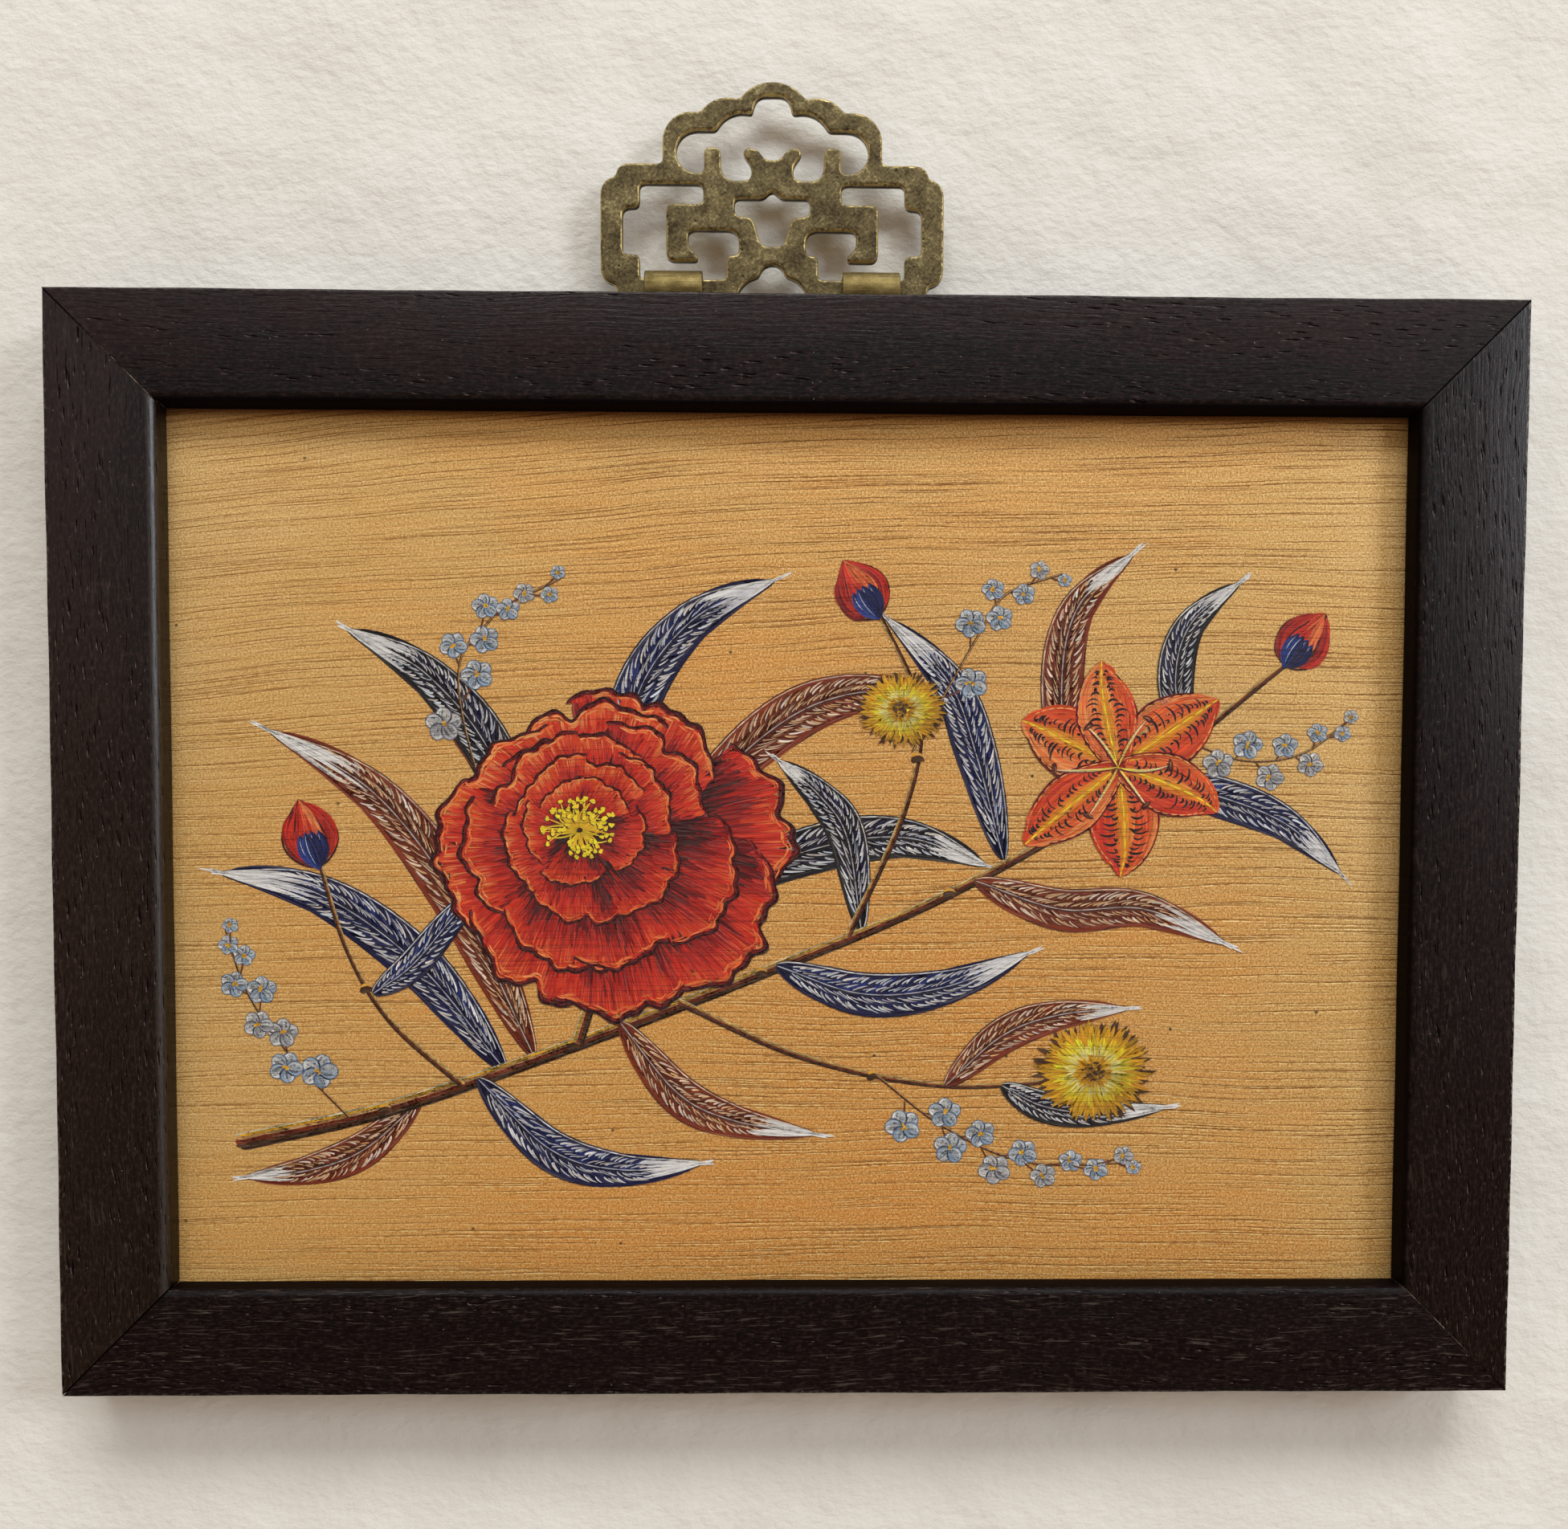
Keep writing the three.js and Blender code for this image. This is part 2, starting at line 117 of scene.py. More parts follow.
class Finish:
    """One material's nodes."""

    def __init__(self, name, **constants):
        self.material = bpy.data.materials.new(name)
        self.material.use_nodes = True
        self.tree = self.material.node_tree
        self.tree.nodes.clear()
        self.shader = self.tree.nodes.new("ShaderNodeBsdfPrincipled")
        self.output = self.tree.nodes.new("ShaderNodeOutputMaterial")
        self.tree.links.new(self.shader.outputs[0], self.output.inputs[0])
        for socket, value in constants.items():
            self.shader.inputs[socket.replace("_", " ")].default_value = value

    def put(self, socket, value):
        """Links a value to the socket, or sets a plain number, colour or vector on it."""
        if isinstance(value, Value):
            self.tree.links.new(value.socket, socket)
        else:
            socket.default_value = value

    def node(self, kind, settings=None, inputs=None, output=0):
        """Adds a node, makes its settings, then fills its sockets, and gives one output."""
        node = self.tree.nodes.new("ShaderNode" + kind)
        for name, setting in (settings or {}).items():
            if name == "stops":
                ramp = node.color_ramp
                ramp.elements.remove(ramp.elements[1])
                ramp.elements[0].position = setting[0][0]
                ramp.elements[0].color = setting[0][1]
                for place, colour in setting[1:]:
                    ramp.elements.new(place).color = colour
            else:
                setattr(node, name, setting)
        for name, value in (inputs or {}).items():
            self.put(node.inputs[name], value)
        return Value(self, node.outputs[output])

    def sum(self, operation, first, second):
        return self.node("Math", {"operation": operation}, {0: first, 1: second})

    def parts(self, vector):
        """The three numbers of a vector."""
        split = self.node("SeparateXYZ", None, {0: vector}).socket.node
        return [Value(self, split.outputs[i]) for i in range(3)]

    def axes(self):
        """The three object coordinates in millimetres."""
        place = self.node("TexCoord", output="Object")
        return self.parts(self.node("VectorMath", {"operation": "SCALE"}, {0: place, "Scale": 1 / MM}))

    def noise(self, x, z, y=None, detail=3.0, rough=0.5, scale=1.0):
        """Noise at a place of two axes, or of three."""
        settings = {"noise_dimensions": "2D" if y is None else "3D"}
        place = self.node("CombineXYZ", None, {0: x, 1: z, 2: 0.0 if y is None else y})
        inputs = {"Vector": place, "Scale": scale, "Detail": detail, "Roughness": rough}
        return self.node("TexNoise", settings, inputs)

    def cells(self, x, z, y=None, scale=1.0, square=False):
        """A place's distance from its nearest scattered dot, and a number for that dot."""
        settings = {"voronoi_dimensions": "2D" if y is None else "3D"}
        settings["distance"] = "CHEBYCHEV" if square else "EUCLIDEAN"
        place = self.node("CombineXYZ", None, {0: x, 1: z, 2: 0.0 if y is None else y})
        distance = self.node("TexVoronoi", settings, {"Vector": place, "Scale": scale})
        colour = Value(self, distance.socket.node.outputs["Color"])
        return distance, self.parts(colour)[0]

    def marks(self, x, z, spread, least, start=1.0, end=0.6, square=False):
        """Marks round scattered dots, each of its own length, and each dot's number."""
        near, kind = self.cells(x, z, square=square)
        return self.step(near / (kind * spread + least), start, end), kind

    def specks(self, x, z, y=None, scale=1.0, size=(0.1, 0.04), rare=(0.8, 0.85)):
        """Specks at some of the scattered dots."""
        near, kind = self.cells(x, z, y, scale)
        return self.step(near, *size) * self.step(kind, *rare)

    def step(self, value, start, end, low=0.0, high=1.0):
        """Goes smoothly from low to high as the value goes from start to end."""
        inputs = {"Value": value, "From Min": start, "From Max": end, "To Min": low, "To Max": high}
        return self.node("MapRange", {"interpolation_type": "SMOOTHSTEP"}, inputs)

    def mix(self, factor, first, second, kind="MIX"):
        settings = {"data_type": "RGBA", "blend_type": kind, "clamp_factor": True}
        return self.node("Mix", settings, {0: factor, 6: first, 7: second}, output=2)

    def cover(self, colour, *layers):
        """Lays further display colours over the colour, each by its own share."""
        for share, over in layers:
            colour = self.mix(share, colour, srgb(*over))
        return colour

    def ramp(self, value, *stops):
        """A colour from a value, by stops that are a place and a display colour."""
        stops = [(place, srgb(*colour)) for place, *colour in stops]
        return self.node("ValToRGB", {"stops": stops}, {0: value})

    def attribute(self, name, output="Fac"):
        return self.node("Attribute", {"attribute_name": name}, None, output)

    def finish(self, colour, rough, height=None, **values):
        """Gives the shader its colour, roughness, height in millimetres and other values."""
        values.update(Base_Color=colour, Roughness=rough)
        if height is not None:
            inputs = {"Strength": 1.0, "Distance": MM, "Height": height}
            values["Normal"] = self.node("Bump", None, inputs)
        for name, value in values.items():
            self.put(self.shader.inputs[name.replace("_", " ")], value)
        return self.material

    def give_way(self, share, kind, inputs=None):
        """Lets the shader give way to another one, by a share of 0 to 1."""
        other = self.node(kind, None, inputs)
        solid = Value(self, self.shader.outputs[0])
        seen = self.node("MixShader", None, {0: share, 1: solid, 2: other})
        self.tree.links.new(seen.socket, self.output.inputs[0])


# Woods

# Each rail's stain, pores and pale streaks, its shine, roughness and pale outer edge (worn,
# and on the right rail also a painted highlight), the share of painted shade on its inner
# face with the depths where that starts and ends, and its gaps at the mitres
RAILS = {
    "top": {
        "dark": (10, 8, 11), "light": (28, 15, 13), "pores": 0.6, "streaks": 0.1, "shine": 0.22,
        "rough": 0.22, "rubbed_and_lit": 0.12, "shade": (0.92, 0.06, 0.3), "gaps": (0.08, 0.05),
    },
    "bottom": {
        "dark": (10, 4, 4), "light": (20, 9, 8), "pores": 0.75, "streaks": 0.55, "shine": 0.12,
        "rough": 0.34, "rubbed_and_lit": 0.12, "shade": (0.85, 0.4, 1.0), "gaps": (0.08, 0.13),
    },
    "left": {
        "dark": (12, 6, 6), "light": (27, 15, 14), "pores": 1.0, "streaks": 0.2, "shine": 0.36,
        "rough": 0.22, "rubbed_and_lit": 0.2, "shade": (0.5, 0.6, 1.4), "gaps": (0.13, 0.08),
    },
    "right": {
        "dark": (11, 8, 10), "light": (20, 12, 13), "pores": 0.95, "streaks": 0.2, "shine": 0.22,
        "rough": 0.22, "rubbed_and_lit": 0.6, "shade": (0.85, 0.1, 0.5), "gaps": (0.05, 0.08),
    },
}


def stained_wood(side, seed):
    """Black stain on open-pored wood. Fibres are noise drawn out along the rail; pores are
    the dots of drawn-out cells, each of its own length, that crowd into bands. Beside some
    pores lies a pale mark, partly pale dust and partly a painted highlight on the pore's lip.
    The outer edge is pale, partly worn and partly a painted highlight, most on the right rail.
    Pores are dull and black, and the lip's inner face turns dull and black as painted shade."""
    look = RAILS[side]
    wood = Finish("stain_" + side, Specular_IOR_Level=look["shine"], Coat_Roughness=0.45)
    dark, light = srgb(*look["dark"]), srgb(*look["light"])
    x, y, z = wood.axes()
    upright = side in ("left", "right")
    along, across = (z, x) if upright else (x, z)
    deep = y - FRONT_Y
    inward = {
        "top": (OUTER_TOP - z) / RAIL_FACE,
        "bottom": (z - OUTER_LOW) / RAIL_FACE,
        "left": (x - (MIDDLE_X - OUTER_HALF)) / RAIL_FACE,
        "right": (MIDDLE_X + OUTER_HALF - x) / RAIL_FACE,
    }[side]
    reach, middle = (OUTER_HALF_HIGH, MIDDLE_Z) if upright else (OUTER_HALF, MIDDLE_X)
    end_left = reach - wood.sum("ABSOLUTE", along - middle, 0.0) - inward * RAIL_FACE
    joint = wood.step(end_left, 0.22, 0.1)
    along = along + seed * 61.0
    sheet = across + deep

    def drawn(along_scale, across_scale, detail=2.0, rough=0.55, moved=0.0):
        return wood.noise(along * along_scale + moved, sheet * across_scale, None, detail, rough)

    sway = drawn(0.018, 0.05)
    sheet = sheet + sway * 5.0 + along * (0.014 * math.sin(seed * 2.1))
    fibres = drawn(0.12, 2.4, 4.0, 0.65)
    hairs = drawn(0.7, 4.6, 2.0, 0.6)
    bands = drawn(0.012, 0.22)
    blotch = drawn(0.04, 0.1, 3.0, 0.6)
    jag = drawn(1.3, 1.7, 1.0)
    crumbs = wood.noise(along * 1.1, sheet * 2.2, rough=0.7)
    line = sheet + jag * 0.22
    rare = look["pores"] * 0.3
    crowded = wood.step(bands, 0.68 - rare, 0.76 - rare)
    slanted = along * 0.19 + line * 0.67
    pits, kind = wood.marks(slanted, line * 1.6, 0.22, 0.02)
    present = wood.step(kind, 0.32, 0.4) * crowded
    pits = pits * present
    # pale mark beside some pores: partly dust, partly a painted highlight on the pore's lip
    pale_lip_dust_and_highlight, _ = wood.marks(slanted + 0.16, line * 1.6 + 0.12, 0.22, 0.02, 0.9, 0.3)
    pale_lip_dust_and_highlight = pale_lip_dust_and_highlight * present * (1.0 - pits) * wood.step(jag, 0.44, 0.6)
    thin, kind = wood.marks(along * 0.1 + sheet * 0.9, (sheet + jag * 0.07) * 2.4, 0.18, 0.02, 1.0, 0.5)
    pits = wood.sum("MAXIMUM", pits, thin * wood.step(kind, 0.5, 0.65) * 0.8)
    body = wood.mix(wood.step(fibres * 0.25 + blotch * 0.45 + inward * 0.3, 0.36, 0.64), light, dark)
    low = wood.step(z - MIDDLE_Z, 30.0, -60.0)
    body = wood.cover(body, (low * 0.65, (7, 2, 2)))
    body = wood.mix(wood.step(crumbs, 0.5, 0.72) * 0.6, body, wood.mix(0.35, light, srgb(80, 58, 52)))
    body = wood.mix(wood.step(hairs, 0.5, 0.72) * 0.35, body, wood.mix(0.3, light, srgb(80, 64, 62)))
    glints = wood.step(drawn(0.2, 3.3, 3.0, 0.6, 3.0), 0.58, 0.7)
    glints = glints * wood.step(drawn(0.03, 0.3, 2.0, 0.5, 9.0), 0.4, 0.6) * look["streaks"]
    specks = wood.specks(along * 0.3, sheet * 0.3, None, 1.0, (0.026, 0.014), (0.9, 0.93))
    # pale outer edge: partly worn, partly a painted highlight, most on the right rail
    rubbed_and_lit = wood.step(inward, 0.04, 0.01) * wood.step(crumbs, 0.5, 0.6)
    body = wood.cover(
        body,
        (wood.step(hairs * 0.6 + crumbs * 0.4, 0.46, 0.32) * 0.6, (5, 3, 3)),
        (glints * 0.8, (98, 86, 78)),
        (pale_lip_dust_and_highlight * 0.55, (120, 110, 106)),
        (specks * 0.5, (160, 156, 150)),
        (rubbed_and_lit * wood.step(deep, 0.7, 0.3) * look["rubbed_and_lit"], (160, 150, 138)),
    )
    bead = wood.step(inward, 0.9, 0.95) * wood.step(deep, 1.1, 0.5) if side == "left" else 0.0
    wood.finish(body, crumbs * 0.16 + look["rough"], fibres * 0.045 + crumbs * 0.02, Coat_Weight=bead)
    # painted shade: the lip's inner face turns dull and dark by each rail's share
    shade, start, end = look["shade"]
    inner = wood.step(inward, 0.9, 0.94) * wood.step(deep, start, end)
    pores_joints_and_painted_shade = wood.sum("MAXIMUM", wood.sum("MAXIMUM", pits * 0.95, joint), inner * shade)
    wood.give_way(pores_joints_and_painted_shade, "BsdfDiffuse", {"Color": srgb(13, 7, 7)})
    return wood.material


def panel_grain(finish):
    """The panel's grain: thin broken lines, level at the bottom and arched towards the top.
    Each is a dot of drawn-out cells on a height that wanders with noise. Gives the lines, the
    ribs between them and a thin strip along the lower edge of each line, for a painted highlight."""
    x, _, z = finish.axes()
    side = (x - MIDDLE_X) / SEEN_HALF[0]
    up = finish.step(z - MIDDLE_Z, -40.0, 62.0, 0.12, 1.0)
    arch = side * (5.2 - side * 2.9) * up
    wander = finish.noise(x * 0.02, z * 0.045, detail=2.0)
    shake = finish.noise(x * 0.9, z * 1.6, rough=0.65)
    level = z - arch + wander * 2.4 + shake * 0.16
    patch = finish.noise(x * 0.025, level * 0.14, detail=2.0)
    broken = finish.noise(x * 0.7, level * 2.5, detail=2.0, rough=0.6)
    weak = finish.step(broken, 0.34, 0.52, 0.5, 1.0)
    lines = []
    for offset in (0.0, 0.17):
        moved = level + offset
        short, _ = finish.marks(x * 0.036 + moved * 1.0, moved * 2.7, 0.18, 0.08, 1.0, 0.75, True)
        long, _ = finish.marks(x * 0.013 + moved * 0.8, moved * 2.1, 0.14, 0.08, 1.0, 0.75, True)
        short = short * finish.step(patch, 0.3, 0.6, 0.4, 1.0)
        lines.append(finish.sum("MAXIMUM", short, long) * weak)
    ribs = finish.noise(x * 0.05, level * 2.4, rough=0.6)
    return lines[0], ribs, lines[1] * (1.0 - lines[0])


def gold_paint():
    """Gold paint brushed thinly over the grain: mottled, finely speckled, darker in lines. Painted
    reflection makes it lighter towards the top, the sides and the left, painted highlights lie
    under the lines and in pale specks, and a painted shadow runs under the top rail's lip.
    """
    gold = Finish("gold_paint_on_grain", Metallic=0.35)
    x, _, z = gold.axes()
    lines, ribs, glints = panel_grain(gold)
    mottle = gold.noise(x * 0.02, z * 0.03, rough=0.55)
    streak = gold.noise(x * 0.03, z * 0.6, rough=0.6)
    speckle = gold.noise(x, z, detail=2.0, rough=0.8, scale=3.6)
    side, up = (x - MIDDLE_X) / SEEN_HALF[0], (z - MIDDLE_Z) / SEEN_HALF[1]
    # painted reflection: lighter towards the top and both sides
    bright = up * 0.12 + side * side * 0.34 + 0.4
    tone = bright + (mottle - 0.5) * 0.6 + (streak - 0.5) * 0.3 + (ribs - 0.5) * 0.3
    stops = ((0.0, 222, 144, 62), (0.35, 214, 152, 74), (0.65, 208, 164, 94), (1.0, 218, 184, 126))
    colour = gold.ramp(tone, *stops)
    sparkle = gold.noise(x * 0.9, z * 1.6 + 4.0, detail=1.0)
    # painted highlight on the lower edges of the grain lines, strongest low on the panel
    glints = glints * gold.step(sparkle, 0.36, 0.6) * gold.step(up, 0.8, -0.2, 0.25, 1.0)
    seam = (x - MIDDLE_X + 4.2) * 4.0
    colour = gold.cover(
        colour,
        # painted highlight: pale speckle for the sparkle of the gold's fine grain
        (gold.step(speckle, 0.52, 0.68) * 0.6, (250, 220, 156)),
        (gold.step(speckle, 0.48, 0.32) * 0.6, (128, 84, 34)),
        # painted highlight under the grain lines
        (glints * 0.8, (255, 226, 156)),
        (lines * 0.9, (124, 74, 8)),
        # painted highlight: pale specks of sparkle
        (gold.specks(x, z, None, 0.9, (0.1, 0.04), (0.84, 0.88)) * 0.6, (255, 236, 190)),
        (gold.specks(x, z, None, 0.05, (0.014, 0.008), (0.6, 0.65)) * 0.85, (34, 24, 20)),
        (gold.step(seam * seam, 0.6, 0.0) * 0.09, (250, 220, 160)),
        # painted light: lighter towards the left side
        (gold.step(side, 0.3, -0.9) * 0.12, (255, 200, 116)),
        # painted shadow of the top rail's lip: a dark red-brown strip along the panel's top
        (gold.step(z - PANEL_HIGH[2] + 3.0, -1.2, 0.1) * 0.75, (96, 40, 24)),
    )
    return gold.finish(colour, speckle * 0.2 + 0.36 + lines * 0.2, ribs * 0.06 + speckle * 0.03)


def hardboard():
    """Brown pressed fibre: tangled short fibres from two crossed, drawn-out noises."""
    board = Finish("pressed_fibre")
    x, y, z = board.axes()
    one = board.noise(x * 0.5, z * 2.2, y, 4.0, 0.7)
    two = board.noise(x * 2.4 + 9.0, z * 0.6, y, 4.0, 0.7)
    cloud = board.noise(x * 0.04, z * 0.04, y)
    tone = one * 0.4 + two * 0.35 + cloud * 0.25
    colour = board.ramp(tone, (0.35, 74, 48, 30), (0.52, 112, 76, 48), (0.68, 150, 110, 72))
    return board.finish(colour, one * 0.2 + 0.62, one * 0.06 + two * 0.06)


# Metals, rubber and filler


def antique_brass():
    """Antiqued brass: olive-brown patina in clouds and flecks, pale along the rims, partly worn
    and partly a painted highlight on the rounded edges, dark in the cut walls. The piece's
    own attribute rim is 1 on an edge and 0 away from it."""
    brass = Finish("antique_brass_patina", Metallic=1.0)
    x, y, z = brass.axes()
    rim, wall = brass.attribute("rim"), brass.attribute("wall")
    cloud = brass.noise(x, z, y, 4.0, 0.7, 0.3)
    fleck = brass.noise(x + z * 0.6, z - x * 0.3, y, 4.0, 0.8, 2.4)
    brushed = brass.noise((x + z) * 0.7, (z - x) * 3.0, y, 3.0, 0.6)
    rubbed_and_lit = brass.noise(x, z, y, 3.0, 0.7, 0.9)
    patina = cloud * 0.4 + fleck * 0.45 + brushed * 0.15
    stops = ((0.36, 40, 34, 25), (0.45, 76, 66, 47), (0.54, 106, 94, 66), (0.66, 168, 154, 110))
    colour = brass.ramp(patina, *stops)
    # pale rims: partly worn, partly a painted highlight on the rounded edges
    rubbed_rims_and_highlight = brass.step(rim + (fleck - 0.5) * 0.9 + (rubbed_and_lit - 0.5) * 1.5, 0.62, 1.05)
    pits = brass.specks(x, z, y, 0.75, (0.2, 0.08), (0.72, 0.8))
    colour = brass.cover(
        colour, (rubbed_rims_and_highlight * 0.9, (196, 174, 116)), (pits * 0.75, (38, 30, 22)), (wall * 0.92, (34, 23, 14))
    )
    rough = fleck * 0.25 + 0.36 + rubbed_rims_and_highlight * -0.06 + wall * 0.25
    return brass.finish(colour, rough, fleck * 0.02 + brushed * 0.006 - pits * 0.03)


def satin_brass():
    """Rolled brass sheet, brushed along its length, with brown tarnish in patches."""
    brass = Finish("satin_rolled_brass", Metallic=1.0)
    x, y, z = brass.axes()
    brushed = brass.noise(x * 0.25, z * 5.0, y * 5.0, 3.0, 0.6)
    cloud = brass.noise(x, y, z, 4.0, 0.65, 0.5)
    fleck = brass.noise(x, y, z, 3.0, 0.7, 3.2)
    tone = brushed * 0.35 + cloud * 0.45 + fleck * 0.2
    colour = brass.ramp(tone, (0.36, 92, 78, 46), (0.5, 132, 115, 72), (0.62, 160, 143, 96))
    colour = brass.cover(colour, (brass.step(fleck + cloud * 0.6, 0.62, 0.5) * 0.35, (74, 58, 34)))
    return brass.finish(colour, brushed * 0.2 + 0.5, brushed * 0.012 + fleck * 0.006)


def zinc_steel():
    """Zinc-plated sheet: faint scratches and grey spangle."""
    zinc = Finish("zinc_plate", Metallic=1.0)
    x, y, z = zinc.axes()
    _, kind = zinc.cells(x, y, z, 0.7)
    scratch = zinc.noise(x * 6.0, z * 0.5, y, 3.0, 0.6)
    colour = zinc.ramp(kind * 0.35 + scratch * 0.65, (0.25, 128, 129, 128), (0.7, 188, 189, 186))
    return zinc.finish(colour, scratch * 0.25 + 0.25, scratch * 0.01)


def pad_rubber():
    """Dark grey rubber with a moulded grain and a little dust."""
    rubber = Finish("grey_rubber")
    x, y, z = rubber.axes()
    grain = rubber.noise(x, y, z, 4.0, 0.7, 2.8)
    dust = rubber.noise(x, y, z, scale=0.45)
    colour = rubber.ramp(grain * 0.5 + dust * 0.5, (0.35, 38, 36, 34), (0.7, 74, 71, 67))
    return rubber.finish(colour, grain * 0.2 + 0.65, grain * 0.05)


def pale_filler():
    """Dry filler and bare wood in an open mitre."""
    filler = Finish("mitre_filler")
    crumbs = filler.noise(*filler.axes(), 4.0, 0.7, 1.1)
    colour = filler.ramp(crumbs, (0.4, 28, 22, 19), (0.52, 120, 104, 86), (0.64, 190, 176, 154))
    return filler.finish(colour, crumbs * 0.2 + 0.7)


# Shapes

SHARP_FROM = math.radians(40)
BEVELLED_FROM = math.radians(35)
FLAT_TO = math.radians(1)
MERGED_WITHIN = 1e-6


def grid_quads(rows, columns, ring=False):
    """The quads between neighbouring points of a grid that is numbered row by row.
    A ring also joins the last column to the first."""
    row, column = np.meshgrid(np.arange(rows - 1), np.arange(columns - (not ring)), indexing="ij")
    here = row * columns + column
    right = row * columns + (column + 1) % columns
    return np.stack([here, right, right + columns, here + columns], axis=-1).reshape(-1, 4)


def make_mesh(name, points, faces):
    """A mesh from points in millimetres and faces that all have as many corners."""
    mesh = bpy.data.meshes.new(name)
    faces = np.asarray(faces, np.int32)
    mesh.vertices.add(len(points))
    mesh.vertices.foreach_set("co", (np.asarray(points) * MM).astype(np.float32).ravel())
    mesh.loops.add(faces.size)
    mesh.loops.foreach_set("vertex_index", faces.ravel())
    mesh.polygons.add(len(faces))
    starts = np.arange(0, faces.size, faces.shape[1], dtype=np.int32)
    mesh.polygons.foreach_set("loop_start", starts)
    mesh.update(calc_edges=True)
    mesh.validate()
    return mesh


def add_attribute(mesh, name, values):
    """Gives each point a number that a material can read."""
    layer = mesh.attributes.new(name, "FLOAT", "POINT")
    layer.data.foreach_set("value", np.asarray(values, np.float32))


def turned_left(vectors):
    """The vectors, each turned by a quarter circle."""
    return np.stack([-vectors[..., 1], vectors[..., 0]], axis=-1)


def rays(angle, squash=1.0):
    """Directions at the angles, with their height squashed."""
    return np.stack([np.cos(angle), np.sin(angle) * squash], axis=-1)


def merged(node):
    """A solid's faces, joined where their corners meet."""
    work = bmesh.new()
    work.from_mesh(nodes[node].data)
    bmesh.ops.remove_doubles(work, verts=work.verts, dist=MERGED_WITHIN)
    return work


def link(name, data):
    """A new object in the scene."""
    new = bpy.data.objects.new(name, data)
    bpy.context.scene.collection.objects.link(new)
    return new


def close_and_turn(mesh, fill=True):
    """Fills the open ends, then turns all faces outwards."""
    work = bmesh.new()
    work.from_mesh(mesh)
    if fill:
        open_edges = [edge for edge in work.edges if edge.is_boundary]
        bmesh.ops.holes_fill(work, edges=open_edges, sides=0)
    bmesh.ops.recalc_face_normals(work, faces=work.faces)
    work.to_mesh(mesh)
    work.free()


def add_piece(name, mesh, material, body="picture", replaces=(), smooth=SHARP_FROM):
    """Puts the mesh in the scene as a finished piece that moves with a body."""
    mesh.materials.append(material)
    piece = link(name, mesh)
    mesh.shade_smooth()
    if smooth:
        mesh.set_sharp_from_angle(angle=smooth)
    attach(piece, body)
    if replaces:
        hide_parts(*replaces)
    return piece


def soften(node, name, material, edge):
    """A merged copy of a solid, with its flat faces joined and its edges rounded."""
    work = merged(node)
    bmesh.ops.dissolve_limit(work, angle_limit=FLAT_TO, verts=work.verts, edges=work.edges)
    bmesh.ops.recalc_face_normals(work, faces=work.faces)
    mesh = bpy.data.meshes.new(name)
    work.to_mesh(mesh)
    work.free()
    piece = add_piece(name, mesh, material, replaces=[node])
    bevel = piece.modifiers.new("edges", "BEVEL")
    bevel.width = edge * MM
    bevel.segments = 3
    bevel.limit_method = "ANGLE"
    bevel.angle_limit = BEVELLED_FROM


def fillet(corners, steps=5):
    """A closed outline of straight edges whose corners are arcs: each corner is [x, y, radius],
    and its arc touches both edges."""
    corners = np.array(corners, float)
    points = []
    for i, (x, y, radius) in enumerate(corners):
        corner = np.array([x, y])
        if radius == 0:
            points.append(corner[None])
            continue
        back = corners[i - 1, :2] - corner
        on = corners[(i + 1) % len(corners), :2] - corner
        back /= np.linalg.norm(back)
        on /= np.linalg.norm(on)
        half = math.acos(np.clip(back @ on, -1, 1)) / 2
        centre = corner + (back + on) / np.linalg.norm(back + on) * radius / math.sin(half)
        first = corner + back * radius / math.tan(half) - centre
        last = corner + on * radius / math.tan(half) - centre
        turn = math.atan2(first[0] * last[1] - first[1] * last[0], first @ last)
        angle = np.linspace(0, turn, steps + 1)[:, None]
        points.append(centre + first * np.cos(angle) + turned_left(first) * np.sin(angle))
    return np.concatenate(points)


# The frame's rails

LIP_THICK = 4.5
REBATE = 11.7
BEAD = 1.2
RAIL_STATIONS = 221
FILLER_THICK = 0.11
FILLER_SHARE = 0.985


def rail_section():
    """The rail's outline, as the distance in from its outer edge and back from its front."""
    depth = BACK_Y - FRONT_Y
    return fillet([
        [0.0, 0.0, 0.32],
        [0.0, depth, 0.4],
        [REBATE, depth, 0.25],
        [REBATE, LIP_THICK, 0.0],
        [RAIL_FACE, LIP_THICK, 0.15],
        [RAIL_FACE, 0.0, BEAD],
    ], steps=6)


def rail_points(half_length, gaps, seed):
    """The section carried along a rail. A point's place along is its station times the half
    length left at its depth inwards, so both ends are mitred. Slow waves stand for handwork."""
    section = rail_section()
    inward, back = section[:, 0], section[:, 1]
    run = np.linspace(-1, 1, RAIL_STATIONS)
    end_gap = np.where(run < 0, gaps[0], gaps[1])[:, None]
    along = run[:, None] * (half_length - inward[None]) - np.sign(run)[:, None] * end_gap
    phase = np.random.default_rng(seed).uniform(0, 6.28, 4)
    wave = 0.035 * np.sin(along * 0.11 + phase[0]) + 0.025 * np.sin(along * 0.37 + phase[1]) + 0.06
    outer = np.clip(1 - inward / RAIL_FACE, 0, 1)
    shifted = inward + wave * outer + 0.02 * np.sin(along * 0.2 + phase[2]) * (1 - outer)
    deep = back + BEHIND_SOLID + 0.02 * np.sin(along * 0.16 + phase[3]) * (back < 1)
    return along, shifted, deep


def tube(name, x, y, z):
    """A closed solid from rows of rings of points."""
    points = np.stack(np.broadcast_arrays(x, y, z), axis=-1)
    mesh = make_mesh(name, points.reshape(-1, 3), grid_quads(*points.shape[:2], ring=True))
    close_and_turn(mesh)
    return mesh


